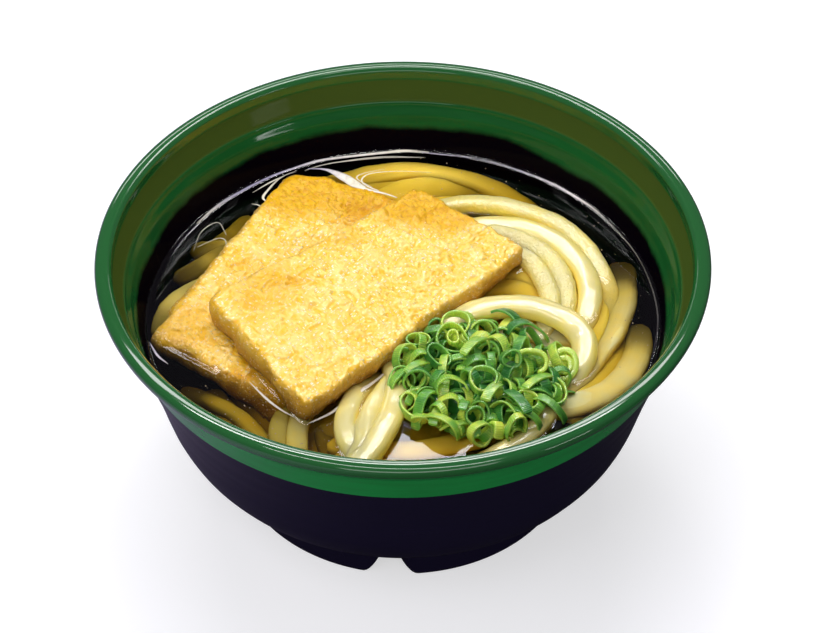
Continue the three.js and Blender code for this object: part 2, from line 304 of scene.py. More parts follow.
@dataclass
class Recipe:
    """A material under construction, with short ways to add its nodes."""

    name: str

    def __post_init__(self) -> None:
        """Starts a material with nothing but its output."""
        self.material = bpy.data.materials.new(self.name)
        self.material.use_nodes = True
        self.tree = self.material.node_tree
        self.tree.nodes.clear()
        self.output = self.add("OutputMaterial")
        self.place = self.add("TexCoord").outputs["Object"]

    def feed(self, socket: Socket, value: object) -> None:
        """Links a socket to a node's output, or sets it to a plain value, a colour being opaque."""
        if isinstance(value, bpy.types.NodeSocket):
            self.tree.links.new(value, socket)
        else:
            socket.default_value = (*value, 1.0) if socket.type == "RGBA" else value

    def add(self, kind: str, *values: object, **named: object) -> bpy.types.Node:
        """Adds a node.

        Args:
            kind: its type, less Blender's prefix.
            values: what its first inputs get, in order.
            named: settings in small letters, and what inputs get by name, underscores read as spaces.

        Returns:
            The node.
        """
        node = self.tree.nodes.new("ShaderNode" + kind)
        for name, value in named.items():
            if name.islower():
                setattr(node, name, value)
            else:
                self.feed(node.inputs[name.replace("_", " ")], value)
        for socket, value in zip(node.inputs, values):
            self.feed(socket, value)
        return node

    def maths(self, operation: str, *values: object, clamp: bool = False) -> Socket:
        """The result of one sum on numbers or sockets."""
        return self.add("Math", *values, operation=operation, use_clamp=clamp).outputs[0]

    def times(self, *values: object) -> Socket:
        """The product of two values."""
        return self.maths("MULTIPLY", *values)

    def plus(self, *values: object, clamp: bool = False) -> Socket:
        """The sum of two values."""
        return self.maths("ADD", *values, clamp=clamp)

    def vector(self, operation: str, *values: object) -> Socket:
        """The result of one sum on vectors."""
        return self.add("VectorMath", *values, operation=operation).outputs["Vector"]

    def flip(self, value: Socket) -> Socket:
        """One less the value."""
        return self.maths("SUBTRACT", 1.0, value)

    def between(self, share: Socket, first: float, second: float) -> Socket:
        """A number from first to second by share: share (second - first) + first."""
        return self.maths("MULTIPLY_ADD", share, second - first, first)

    def mix(self, share: object, first: object, second: object, blend: str = "MIX") -> Socket:
        """A colour between first and second by share, or their blend."""
        node = self.add("Mix", share, data_type="RGBA", blend_type=blend)
        self.feed(node.inputs[6], first)
        self.feed(node.inputs[7], second)
        return node.outputs[2]

    def ramp(self, value: Socket, low: float, high: float, start: float = 0.0, end: float = 1.0) -> Socket:
        """Carries value smoothly from start at low to end at high."""
        return self.add("MapRange", value, low, high, start, end, interpolation_type="SMOOTHSTEP").outputs[0]

    def noise(self, size: float, detail: float = 2.0, stretch: tuple | None = None) -> Socket:
        """Noise from 0 to 1 whose lumps are `size` millimetres across.

        Args:
            size: the lumps' size.
            detail: how many finer octaves it has.
            stretch: how far the lumps are drawn out along each axis.

        Returns:
            The noise.
        """
        place = self.drawn_out(stretch) if stretch else self.place
        return self.add("TexNoise", place, Scale=1.0 / (size * MILLIMETRE), Detail=detail).outputs["Fac"]

    def cells(self, size: float, stretch: tuple, turn: float = 0.0) -> tuple[Socket, Socket]:
        """Small cells that cover the piece.

        Args:
            size: their size in millimetres.
            stretch: how far they are drawn out along each axis.
            turn: how many degrees these axes are turned about Z.

        Returns:
            A random colour for each cell, and the distance from its middle, about 0.5 at its edge.
        """
        node = self.add("TexVoronoi", self.drawn_out(stretch, turn), Scale=1.0 / (size * MILLIMETRE))
        return node.outputs["Color"], node.outputs["Distance"]

    def drawn_out(self, stretch: tuple, turn: float = 0.0) -> Socket:
        """The place on the piece, with lengths along axes turned by `turn` degrees about Z stretched."""
        turns = (0.0, 0.0, math.radians(turn))
        node = self.add("Mapping", self.place, vector_type="TEXTURE", Rotation=turns, Scale=stretch)
        return node.outputs[0]

    def leaning(self, normal: Socket, random: Socket, tilt: object) -> Socket:
        """A normal that leans its own way in each cell: normal + tilt (random - 1/2), made one long."""
        amount = self.add("CombineXYZ", tilt, tilt, tilt).outputs[0]
        lean = self.vector("MULTIPLY", self.vector("SUBTRACT", random, (0.5, 0.5, 0.5)), amount)
        return self.vector("NORMALIZE", self.vector("ADD", normal, lean))

    def bump(self, relief: Socket, depth: float) -> Socket:
        """A surface normal bent by relief, whose full range is `depth` millimetres."""
        return self.add("Bump", Distance=depth * MILLIMETRE, Height=relief).outputs["Normal"]

    def mark(self, name: str) -> Socket:
        """The number that a piece keeps at each of its points under this name."""
        return self.add("Attribute", attribute_name=name).outputs["Fac"]

    def along(self, axis: str) -> Socket:
        """Distance from the origin along an axis, in metres."""
        return self.add("SeparateXYZ", self.place).outputs[axis]

    def height(self) -> Socket:
        """Height above the table in millimetres."""
        return self.times(self.along("Z"), 1.0 / MILLIMETRE)

    def in_air(self) -> Socket:
        """One above the broth's surface, falling to nothing just under it."""
        return self.ramp(self.height(), BROTH_LEVEL - 1.0, BROTH_LEVEL + 0.5)

    def seen_through_broth(self, colour: Socket) -> Socket:
        """Darkens a colour below the broth's level: each channel by e to the power -(loss x depth)."""
        depth = self.maths("MAXIMUM", self.maths("SUBTRACT", BROTH_LEVEL, self.height()), 0.0)
        passed = [self.maths("POWER", math.exp(-loss), depth) for loss in BROTH_LOSS]
        return self.mix(1.0, colour, self.add("CombineColor", *passed).outputs[0], "MULTIPLY")

    def finished(self, shader: bpy.types.Node) -> bpy.types.Material:
        """The material, with this shader on its surface."""
        self.feed(self.output.inputs["Surface"], shader.outputs[0])
        return self.material

    def shaded(self, **values: object) -> bpy.types.Material:
        """The material, with a Principled shader whose inputs get the values by name."""
        return self.finished(self.add("BsdfPrincipled", **values))


@dataclass(frozen=True)
class Lacquer:
    """The bowl's glossy finish: green above a hand-laid edge, near-black below, olive in the cove."""

    # The three greens are one lacquer: the outside green is set far lighter than the inside and lip greens as
    # painted light, making up for the dimmer light on the outside.
    green_outside: tuple = (0.010, 0.290, 0.052)
    green_inside: tuple = (0.008, 0.086, 0.017)
    green_lip: tuple = (0.012, 0.100, 0.020)
    olive: tuple = (0.048, 0.080, 0.012)
    # The outside black is lighter and purpler than the inside black: a painted sheen on the near-black
    # lacquer.
    black_outside: tuple = (0.008, 0.006, 0.020)
    black_inside: tuple = (0.0016, 0.0008, 0.0022)
    edge_height: float = 66.0
    edge_drop_inside: float = 0.9
    edge_slope: tuple = (-0.012, 0.026)
    edge_blur: float = 0.3
    edge_blur_inside: tuple = (-1.2, 1.4)
    ragged: float = 2.4
    streaking: float = 0.30
    streak_gain: float = 1.5
    roughness: tuple = (0.12, 0.22)
    relief: float = 0.04
    coat_above: tuple = (0.68, 0.41)
    coat_below: tuple = (0.36, 0.05)
    cove_loss: float = 0.39
    coat_roughness: float = 0.07

    def build(self) -> bpy.types.Material:
        """Mixes the colours by height and by the marks `cove`, `inside` and `lip`.

        Outside, the edge between green and black is level. Inside it lies a little lower, rises along
        edge_slope, and wanders softly. The coat is full on the lip, and elsewhere it is given for the
        outside and the inside.
        """
        r = Recipe("bowl_lacquer")
        inside, lip = r.mark("inside"), r.mark("lip")
        slope_x, slope_y = (slope / MILLIMETRE for slope in self.edge_slope)
        lean = r.maths("MULTIPLY_ADD", r.along("Y"), slope_y, r.times(r.along("X"), slope_x))
        drift = r.between(r.noise(17.0, 5.0), -self.ragged, self.ragged)
        wander = r.maths("SUBTRACT", r.plus(drift, self.edge_drop_inside), lean)
        height = r.maths("MULTIPLY_ADD", wander, inside, r.height())
        crisp = r.ramp(height, self.edge_height - self.edge_blur, self.edge_height + self.edge_blur)
        soft = r.ramp(height, *(self.edge_height + blur for blur in self.edge_blur_inside))
        above = r.plus(r.times(soft, inside), r.times(crisp, r.flip(inside)))
        streaks = r.noise(9.0, 4.0, (3.0, 3.0, 0.35))
        green = r.mix(inside, self.green_outside, self.green_inside)
        brighter = tuple(self.streak_gain * c for c in self.green_inside)
        green = r.mix(r.ramp(streaks, 0.35, 0.75, 0.0, self.streaking), green, brighter)
        green = r.mix(r.mark("cove"), green, self.olive)
        green = r.mix(lip, green, self.green_lip)
        black = r.mix(inside, self.black_outside, self.black_inside)
        dullness = r.ramp(r.noise(14.0, 4.0), 0.3, 0.75, *self.roughness)
        coat_above = r.between(inside, *self.coat_above)
        coat_above = r.maths("MULTIPLY_ADD", r.mark("cove"), -self.cove_loss, coat_above)
        coat = r.mix(above, r.between(inside, *self.coat_below), coat_above)
        drowned = r.times(inside, r.flip(r.in_air()))
        coat = r.times(r.maths("MAXIMUM", coat, lip), r.flip(drowned))
        return r.shaded(
            Base_Color=r.mix(above, black, green),
            Roughness=r.maths("MAXIMUM", dullness, drowned),
            Normal=r.bump(r.noise(6.0, 3.0), self.relief),
            Specular_IOR_Level=0.0,
            Coat_Weight=coat,
            Coat_Roughness=self.coat_roughness,
        )


@dataclass(frozen=True)
class NoodleSkin:
    """Boiled noodle: cream on top, a painted yellow glow down its shaded sides, and lost in murk where
    sunken.
    """

    name: str
    roughness: float
    film: float
    shine: float = 0.5
    crown: tuple = (0.69, 0.605, 0.215)
    # The painted yellow glow of the shaded sides and underside, light through the noodle in its shade.
    painted_glow: tuple = (1.0, 0.78, 0.12)
    murky: tuple = (0.030, 0.020, 0.012)
    cloudiness: float = 0.4
    grain: tuple = (0.12, 1.42)
    pitting: float = 0.45
    pit_size: float = 0.6
    relief: float = 0.35
    glow: float = 0.50
    glow_reach: tuple = (0.0042, 0.0036, 0.0018)
    film_roughness: float = 0.10

    def build(self) -> bpy.types.Material:
        """Mixes the colours by the marks `painted_glow` and `murk`, and pits the skin by the mark `rough`."""
        r = Recipe(self.name)
        cloud = r.ramp(r.noise(9.0, 3.0), 0.35, 0.75, 0.0, self.cloudiness)
        # Painted glow: yellow down the sides and underside, where the noodle lies in its own shade.
        painted_glow = r.plus(r.mark("painted_glow"), cloud, clamp=True)
        colour = r.mix(painted_glow, self.crown, self.painted_glow)
        colour = r.mix(r.mark("murk"), colour, self.murky)
        grain = r.times(r.noise(0.8), r.between(r.mark("rough"), *self.grain))
        relief = r.bump(grain, self.relief)
        pitted = r.times(r.mark("rough"), self.pitting)
        return r.shaded(
            Base_Color=r.seen_through_broth(colour),
            Roughness=r.flip(r.times(r.in_air(), 1.0 - self.roughness)),
            Specular_IOR_Level=self.shine,
            Subsurface_Weight=self.glow,
            Subsurface_Radius=self.glow_reach,
            Subsurface_Scale=1.0,
            Coat_Weight=r.times(r.in_air(), self.film),
            Coat_Roughness=self.film_roughness,
            Coat_Normal=r.leaning(relief, r.cells(self.pit_size, (1.0, 1.0, 1.0))[0], pitted),
            Normal=relief,
        )


@dataclass(frozen=True)
class TofuSkin:
    """Fried tofu: a moist crinkled skin, cream on its crests, golden in its folds, browned at corners, with
    painted glints and painted shade low on its sides.
    """

    crest: tuple = (0.96, 0.67, 0.14)
    gold: tuple = (0.95, 0.55, 0.018)
    brown: tuple = (0.66, 0.31, 0.001)
    amber: tuple = (0.80, 0.45, 0.005)
    # Painted glints: the near-white cream of short streaks in the skin.
    pale: tuple = (1.0, 0.93, 0.66)
    # The wet sides: partly soaked colour, partly painted shade.
    wet: tuple = (0.56, 0.29, 0.030)
    # Painted shade low on the sides, near the broth.
    painted_shade: tuple = (0.20, 0.075, 0.008)
    lie: float = 50.0
    wrinkle_size: float = 0.66
    wrinkle_ways: tuple = ((2.4, 1.0, 1.0), (1.0, 2.4, 1.0))
    flecking: tuple = (-0.8, 0.7)
    patchiness: float = 0.55
    # How much of the painted glints shows, on dry skin and on the wet sides.
    painted_glint_share: tuple = (0.85, 0.35)
    relief: float = 0.32
    roughness: float = 0.45
    shine: float = 0.10
    lean: float = 0.25
    film: tuple = (1.0, 0.2)
    film_roughness: float = 0.05
    film_lean: float = 0.5
    glow: float = 0.12
    glow_reach: tuple = (0.0030, 0.0018, 0.0005)

    def build(self) -> bpy.types.Material:
        """Colours by the marks `crest`, `toast` and `wet`, with fine flecks and wrinkles by noise, painted
        glints as pale streaks in the wrinkles' cells, and painted shade low on the wet sides.

        The wrinkles run both ways along axes turned by `lie` degrees, as the slices are.
        """
        r = Recipe("fried_tofu_skin")
        crest = r.plus(r.mark("crest"), r.between(r.noise(1.0, 3.0), *self.flecking), clamp=True)
        colour = r.mix(crest, self.gold, self.crest)
        patches = r.ramp(r.noise(9.0, 4.0), 0.40, 0.66, 0.0, self.patchiness)
        colour = r.mix(patches, colour, self.gold)
        ways = [r.cells(self.wrinkle_size, stretch, self.lie) for stretch in self.wrinkle_ways]
        zones = r.ramp(r.noise(3.2, 0.0), 0.47, 0.53)
        random, away = (r.mix(zones, *pair) for pair in zip(*ways))
        chance = r.add("SeparateColor", random).outputs[0]
        # Painted glints: some cells become short pale streaks, fewer on the wet sides; the streaks are raised
        # a little too.
        streak = r.times(r.ramp(away, 0.2, 0.42, 1.0, 0.0), r.ramp(chance, 0.42, 0.62))
        # `wet` darkens the lower sides: partly soaking, partly painted shade.
        colour = r.mix(r.mark("wet"), colour, self.wet)
        # Painted shade, deepest near the broth at the foot of the wet sides.
        painted_shade_share = r.times(r.mark("wet"), r.ramp(r.height(), 60.0, 63.0, 0.7, 0.0))
        colour = r.mix(painted_shade_share, colour, self.painted_shade)
        share = r.times(streak, r.between(r.mark("wet"), *self.painted_glint_share))
        colour = r.mix(share, colour, self.pale)
        browned = r.times(r.mark("toast"), r.ramp(r.noise(2.4, 4.0), 0.3, 0.6, 0.88, 1.0))
        toasted = r.mix(r.ramp(r.noise(1.5), 0.25, 0.65), self.brown, self.amber)
        colour = r.mix(browned, colour, toasted)
        dull = r.maths("MAXIMUM", browned, r.times(r.mark("wet"), 0.6))
        grain = r.plus(r.noise(2.4, 1.0), r.noise(0.9, 1.0))
        relief = r.bump(r.maths("MULTIPLY_ADD", streak, 0.3, grain), self.relief)
        return r.shaded(
            Base_Color=r.seen_through_broth(colour),
            Roughness=self.roughness,
            Specular_IOR_Level=self.shine,
            Normal=r.leaning(relief, random, self.lean),
            Coat_Weight=r.times(r.in_air(), r.between(dull, *self.film)),
            Coat_Roughness=self.film_roughness,
            Coat_Normal=r.leaning(relief, random, self.film_lean),
            Subsurface_Weight=self.glow,
            Subsurface_Radius=self.glow_reach,
            Subsurface_Scale=1.0,
        )


@dataclass(frozen=True)
class OnionLeaf:
    """Fresh spring onion: each slice its own green, veined lengthwise, palest on its cut edges."""

    dark: tuple = (0.026, 0.185, 0.024)
    middle: tuple = (0.160, 0.440, 0.045)
    bright: tuple = (0.70, 0.84, 0.09)
    cut: tuple = (0.27, 0.57, 0.09)
    vein_gap: float = 0.62
    vein_tone: float = 0.07
    vein_relief: float = 0.25
    drift: float = 0.45
    relief: float = 0.14
    roughness: float = 0.34
    film: float = 0.4
    film_roughness: float = 0.05
    glow: float = 0.3
    glow_reach: tuple = (0.0012, 0.0020, 0.0005)

    def build(self) -> bpy.types.Material:
        """Mixes greens by the marks `tone` and `edge`, and veins by `arc`, the millimetres round a ring."""
        r = Recipe("spring_onion_leaf")
        drift = r.between(r.noise(2.6, 3.0), -self.drift, self.drift)
        vein = r.maths("SINE", r.times(r.mark("arc"), 2 * math.pi / self.vein_gap))
        tone = r.plus(r.mark("tone"), r.maths("MULTIPLY_ADD", vein, self.vein_tone, drift))
        colour = r.mix(r.ramp(tone, 0.0, 0.55), self.dark, self.middle)
        colour = r.mix(r.ramp(tone, 0.45, 1.1), colour, self.bright)
        colour = r.mix(r.mark("edge"), colour, self.cut)
        relief = r.maths("MULTIPLY_ADD", vein, self.vein_relief, r.noise(0.8))
        return r.shaded(
            Base_Color=r.seen_through_broth(colour),
            Roughness=self.roughness,
            Normal=r.bump(relief, self.relief),
            Subsurface_Weight=self.glow,
            Subsurface_Radius=self.glow_reach,
            Subsurface_Scale=1.0,
            Coat_Weight=self.film,
            Coat_Roughness=self.film_roughness,
        )


@dataclass(frozen=True)
class ClearBroth:
    """The broth's surface: it lets nearly all light through and mirrors the rest by its Fresnel share."""

    tint: tuple = (0.985, 0.955, 0.86)
    deeper_tint: tuple = (0.97, 0.93, 0.80)
    roughness: float = 0.03
    refraction: float = 1.34

    def build(self) -> bpy.types.Material:
        """Mixes a Transparent and a Glossy shader by the Fresnel share of water."""
        r = Recipe("clear_broth")
        tint = r.mix(r.ramp(r.noise(20.0), 0.3, 0.7, 0.0, 0.4), self.tint, self.deeper_tint)
        share = r.add("Fresnel", self.refraction)
        clear = r.add("BsdfTransparent", tint)
        shine = r.add("BsdfGlossy", Roughness=self.roughness)
        return r.finished(r.add("MixShader", *(node.outputs[0] for node in (share, clear, shine))))


# The bowl.


@dataclass
class Bowl:
    """A turned bowl with a notched foot ring, a thick rolled lip and a cove inside it."""

    foot_radius: float = 53.6
    foot_top_radius: float = 55.6
    foot_height: float = 11.4
    foot_ring_width: float = 5.4
    recess_height: float = 8.8
    notch_turns: tuple = (-94.3, 25.7, 145.7)
    notch_top_width: float = 6.0
    notch_mouth_width: float = 17.0
    notch_height: float = 8.5
    cove: tuple = (75.2, 81.7)
    cove_blur: float = 0.3
    lip_low: float = 81.5
    lip_inner: tuple = (87.85, 84.6)
    columns: int = 360
    ridge: float = 0.11
    body: tuple = ((57.4, 12.4), (64.6, 19.6), (70, 25.6), (74.4, 34), (78.8, 50), (83.4, 64), (88.8, 78))
    lip: tuple = ((88.8, 78), (92, 81.4), (93, 84.1), (92, 85.7), (89.2, 86.2), (87.9, 85.1))
    cove_wall: tuple = ((87.8, 81.7), (85.1, 75.5), (84.5, 75.0), (84.1, 73.6), (82.8, 70.8))
    wall: tuple = (*cove_wall, (82.0, 67.6), (79, 59))
    belly: tuple = ((79, 59), (75.6, 49.6), (71.2, 34.6), (63, 20.6), (54, 13.6), (44, 12.6))

    def inside_radius(self, height: Array) -> Array:
        """Radius of the inner wall at a height, straight between the profile's stations."""
        stations = np.array([*self.wall[::-1], *self.belly[1:]])
        stations = stations[np.argsort(stations[:, 1])]
        return np.interp(height, stations[:, 1], stations[:, 0])

    def outside(self) -> Array:
        """Profile from the recess under the bowl, round the foot ring and up to the lip's crest."""
        inner = self.foot_radius - self.foot_ring_width
        foot = [(NEAR_AXIS, self.recess_height), (inner, self.recess_height), (inner, 0.0)]
        foot += [(self.foot_radius, 0.0), (self.foot_top_radius, self.foot_height), self.body[0]]
        return np.concatenate([softened(foot, 0.9, 1.9), spline(self.body, 9)[1:-1], spline(self.lip, 6)])

    def inside(self) -> Array:
        """Profile from the lip's inner edge over the cove and the wall down to the middle of the floor."""
        wall = softened([self.lip_inner, *self.wall], 0.7, 1.2)
        floor = softened([self.belly[-1], (NEAR_AXIS, self.belly[-1][1])], 1.0, 4.0)
        return np.concatenate([wall[:-1], spline(self.belly, 6), floor[1:]])

    def notched(self, grid: Array) -> Array:
        """Lifts the foot ring's underside into the notches, and squeezes the ring above it.

        The lift is the notch's height x (1 - t)^1.8, where t goes from 0 at half the top's width to 1 at
        half the mouth's, and a point at height z goes to lift + z (1 - lift / foot height).
        """
        x, y, z = np.moveaxis(grid, -1, 0)
        lift = np.zeros_like(z)
        half, mouth = self.notch_top_width / 2, self.notch_mouth_width / 2
        for turn in np.radians(self.notch_turns):
            across = np.abs(x * math.sin(turn) - y * math.cos(turn))
            outward = x * math.cos(turn) + y * math.sin(turn) > 0
            share = np.clip((mouth - across) / (mouth - half), 0.0, 1.0)
            lift += np.where(outward, self.notch_height * share**1.8, 0.0)
        ring = (np.hypot(x, y) > 40) & (z < self.foot_height)
        squeezed = np.where(ring, lift + z * (1 - lift / self.foot_height), z)
        return np.stack([x, y, squeezed], -1)

    def ridged(self, grid: Array) -> Array:
        """Pushes the body's outside in and out by a field drawn out along the turning direction."""
        x, y, z = np.moveaxis(grid, -1, 0)
        angle = np.arctan2(y, x)
        around = np.stack([6 * np.cos(angle), 6 * np.sin(angle), z], -1)
        swell = self.ridge * Unevenness(2.4, 11, 2).at(around)
        swell *= fade((z - 12) / 6) * fade((72 - z) / 6)
        radius = np.hypot(x, y)
        scale = (1 + swell / np.maximum(radius, 1.0))[..., None]
        return grid * np.concatenate([scale, scale, np.ones_like(scale)], -1)

    def build(self) -> None:
        """Makes the bowl's piece in place of its CAD node."""
        outside = self.ridged(self.notched(spun(self.outside(), self.columns)))
        inside = spun(self.inside(), self.columns)
        grid = np.concatenate([outside, inside])
        height, within = grid[..., 2], 1.0 * (np.arange(len(grid)) >= len(outside))[:, None]
        low, high = self.cove
        blur = self.cove_blur
        cove = within * fade((height - low + blur) / (2 * blur)) * fade((high + blur - height) / (2 * blur))
        marks = {"cove": cove, "inside": within, "lip": fade(height - self.lip_low)}
        skin = Skin()
        skin.add_tube(grid, marks)
        skin.make("bowl_lacquered", Lacquer().build(), "bowl", "bowl")


# Noodles.


@dataclass(frozen=True)
class Run:
    """The way one noodle lies: an arc of an ellipse in plan, with heights given evenly along it.

    `rough` is how pitted its skin is, and `gold` how far the painted yellow glow of its shaded sides spreads
    all round. `murk` gives, evenly along it, how far its sides and ends are lost in the broth.
    """

    centre: tuple
    radii: tuple
    turn: tuple
    levels: tuple
    width: float
    rough: float = 0.0
    gold: float = 0.0
    murk: tuple = (0.0, 0.0)

    def path(self, spacing: float) -> Array:
        """Points along the arc: centre + radii (cos a, sin a), as high as a spline through the levels.

        Args:
            spacing: distance between points.

        Returns:
            The points, evenly spaced in the arc's angle.
        """
        start, end = np.radians(self.turn)
        count = max(int(abs(end - start) * max(self.radii) / spacing), 12)
        t = np.linspace(0.0, 1.0, count)
        angle = start + (end - start) * t
        stations = spline(list(enumerate(self.levels)), 8)
        height = np.interp(t * (len(self.levels) - 1), stations[:, 0], stations[:, 1])
        x = self.centre[0] + self.radii[0] * np.cos(angle)
        y = self.centre[1] + self.radii[1] * np.sin(angle)
        return np.stack([x, y, height], -1)


def arc(x: float, y: float, radius: float, turn: tuple, levels: tuple, width: float, **more: object) -> Run:
    """A run on an arc of a circle."""
    return Run((x, y), (radius, radius), turn, levels, width, **more)


@dataclass
class Noodles:
    """Thick square-cut noodles: runs that rise out of the broth, sunken runs and a core under them."""

    thickness: float = 5.6
    sunken_thickness: float = 3.4
    squareness: float = 2.6
    wobble: float = 0.35
    twist: float = 0.45
    lumps: float = 0.14
    pits: float = 0.12
    raised_spacing: float = 0.7
    raised_sides: int = 28
    sunken_spacing: float = 1.3
    sunken_sides: int = 18
    first_seed: int = 301
    seed_step: int = 17
    core_centre: tuple = (4.0, -12.0)
    core_floor: tuple = ((NEAR_AXIS, 19), (46, 20), (56, 34), (57, 45))
    core_crown: tuple = ((50, 50.6), (36, 53.4), (16, 54.2), (NEAR_AXIS, 54.2))
    core_swell: float = 1.1
    raised: tuple = (
        Run((20, 7.4), (44.2, 44.2), (112, -34), (57, 59.4, 59.8, 59.6, 58.4, 55.8, 53.6, 52.5), 6.6, 0.6),
        arc(26.5, 9.2, 31.3, (112, -62), (58.4, 59.7, 60, 59.8, 59.0, 57.2, 54, 52), 7.6),
        arc(22.3, 8.9, 28, (84, -44), (59.4, 60.3, 60.2, 59.4, 57, 53.6), 6.8, rough=1.0),
        arc(12.3, 5.7, 33.1, (46, -40), (59.4, 59.8, 59.4, 57.4, 53.6), 6.6, rough=0.9),
        Run((33, -16), (22.2, 16.6), (156, -66), (59.0, 61.8, 62.2, 61.8, 60.4, 58, 54), 8.0),
        arc(10, -26.4, 36.7, (-14, -72), (56, 57.6, 57.9, 57.2, 55), 6.4),
        arc(11, -46.4, 28, (124, 224), (53.5, 56.6, 58.6, 59.0, 56.8), 7.0),
        arc(75.8, -70.7, 89.4, (141, 180), (53.5, 57.4, 59.0, 59.6, 58), 7.0),
        arc(-60.9, -30.7, 59.1, (22, -46), (53.5, 57.6, 60.0, 60.8, 60.2, 58.4), 7.8),
    )
    sunken: tuple = (
        arc(1.8, 18.1, 53.3, (126, 26), (55, 56.4, 51), 9.4, gold=1.0, murk=(0.4, 0.1, 0.7, 1.0)),
        arc(9.4, 36.0, 27.5, (150, 44), (54, 56.2, 53), 9.4, gold=1.0, murk=(0.2, 0.1, 0.9)),
        arc(15, 18, 38, (136, 40), (53, 55.6, 54), 8.4, gold=1.0, murk=(0.1, 0.1)),
        arc(3, 20, 45, (120, 56), (54, 55.2, 53.6), 8.4, gold=1.0, murk=(0.2, 0.2)),
        arc(0, 19.5, 69, (9, -52), (53.4, 55.8, 56.6, 57.0, 57.2), 8.8, gold=0.3, murk=(1.0, 0.7, 0.3, 0.1)),
        arc(40, -8, 32.0, (16, -84), (54.2, 56.6, 57.2, 57.4), 8.8, gold=0.3, murk=(1.0, 0.4, 0.2, 0)),
        arc(-9.1, 13.9, 71.4, (12, -24), (53, 54.4, 54), 8.0, gold=1.0, murk=(0.9, 0.2, 0.2)),
        arc(2, 2, 64, (0, -44), (54.2, 55.4, 56), 8.0, gold=1.0, murk=(0.7, 0.1, 0)),
        arc(30, -4, 20, (116, 4), (55.6, 56.2, 55.6), 8.0, gold=1.0),
        arc(27, -3, 26, (110, 30), (56.0, 56.9, 56.4), 8.4, gold=1.0),
        arc(30, -4, 12, (130, -10), (55.4, 56, 55.4), 8.0, gold=1.0),
        arc(38, -60, 53, (104, 70), (56, 57, 56), 7.0),
        arc(10.1, -50.6, 41.7, (150, 192), (54.2, 55.8, 55.6), 6.6, gold=0.1, murk=(0.4, 0.1, 0.1)),
        arc(-11, -46, 26, (140, 204), (53.2, 54.4, 54.0), 6.2, gold=0.2, murk=(0.5, 0.2, 0.2)),
        arc(-82.5, -69.8, 45.9, (72, 0), (51.0, 52.4, 52.2), 6.8, gold=0.5, murk=(1.0, 0.65, 0.6)),
        arc(-2, -42, 21.5, (140, 222), (51.0, 52.0, 51.6), 7.0, gold=0.8, murk=(0.6, 0.55, 0.6)),
        arc(-60.5, -2.1, 38.2, (101, 66), (53, 53.8, 54.4), 7.0, gold=0.4, murk=(0.9, 0.4, 0.1)),
        arc(-88.7, 63.5, 43.6, (-68, -34), (52.6, 53.6, 54.0), 7.0, gold=0.4, murk=(0.9, 0.6, 0.4)),
        arc(-52.3, -2.3, 21.9, (190, 108), (54.4, 55.6, 55.6), 7.0, gold=0.2, murk=(0.8, 0.42, 0.3)),
        Run((-317, 257), (338, 338), (-40.8, -37), (51.4, 52, 51.8), 8.0, gold=0.5, murk=(0.8, 0.4, 0.6)),
        arc(12, 8, 48, (62, -62), (53.8, 55.6, 55.2), 8.0, gold=0.9),
        arc(10, 2, 39.5, (34, -74), (53.2, 55.6, 54.4), 8.0, gold=0.9),
        arc(20, -2, 20, (70, -70), (54, 55.4, 54.8), 7.6, gold=0.9),
        arc(30, -36, 20, (170, 20), (53.6, 56.4, 54), 7.0, gold=0.3),
        arc(33, -17, 12, (150, -60), (55.4, 57.4, 55.4), 7.4),
        arc(-2, -30, 18, (100, -60), (53, 54.6, 53), 7.0, gold=0.8),
        arc(4, -20, 44, (-50, -124), (54.4, 56.0, 54.4), 7.6, gold=1.0, murk=(0.0, 0.1)),
        arc(0, 0, 55, (-30, -114), (54.0, 56.0, 54.0), 7.6, gold=1.0, murk=(0.0, 0.1)),
        arc(-6, -4, 56, (-112, -160), (49.8, 50.8, 49.8), 7.8, gold=0.8, murk=(0.2, 0.4, 0.8)),
    )

    def strand(
        self, run: Run, thickness: float, spacing: float, sides: int, seed: int
    ) -> tuple[Array, Marks]:
        """A soft square section carried along a run.

        The section is (sign(cos a) |cos a|^p, sign(sin a) |sin a|^p) with p = 2 / squareness, scaled to
        half the width across and half the thickness up. It turns a little along the run, and both ends
        close as a quarter circle: the scale is the root of 1 - (1 - distance / half width)².

        Args:
            run: the way it lies.
            thickness: how thick it is from crown to underside.
            spacing: distance between sections.
            sides: points round a section.
            seed: of the strand's own unevenness.

        Returns:
            A grid of points, a row for each section, and its marks. The share of painted yellow glow rises
            from the crown down, as a smooth step of (1 - sin a) / 1.3, and `murk` from the crown out to the
            sides and the ends.
        """
        path = run.path(spacing)
        path += self.wobble * Unevenness(11, seed).shifts(path)
        ahead = unit(np.gradient(path, axis=0))
        across = unit(np.cross(ahead, UPWARD))
        up = np.cross(across, ahead)
        twist = self.twist * Unevenness(24, seed + 5).at(path)[:, None]
        across, up = across * np.cos(twist) + up * np.sin(twist), up * np.cos(twist) - across * np.sin(twist)
        angle = full_turn(sides)[::-1]
        power = 2.0 / self.squareness
        wide, high = (np.sign(way) * np.abs(way) ** power / 2 for way in (np.cos(angle), np.sin(angle)))
        along = np.concatenate([[0.0], np.cumsum(np.linalg.norm(np.diff(path, axis=0), axis=1))])
        from_end = np.minimum(along, along[-1] - along) / (run.width / 2)
        scale = np.sqrt(np.clip(1 - (1 - np.minimum(from_end, 1)) ** 2, 0.01, 1))[:, None, None]
        section = run.width * wide[:, None] * across[:, None] + thickness * high[:, None] * up[:, None]
        rings = path[:, None] + scale * section
        swell = self.lumps * Unevenness(5, seed + 9, 2).at(rings)
        swell += self.pits * run.rough * Unevenness(1.2, seed).at(rings)
        outward = rings - path[:, None]
        rings = rings + outward / thickness * 2 * swell[..., None] * scale
        murk = spread(run.murk, along / along[-1])
        edges = 0.2 + 0.6 * fade((np.abs(np.cos(angle)) - 0.3) / 0.7) + fade(1.5 - from_end / 3)[:, None]
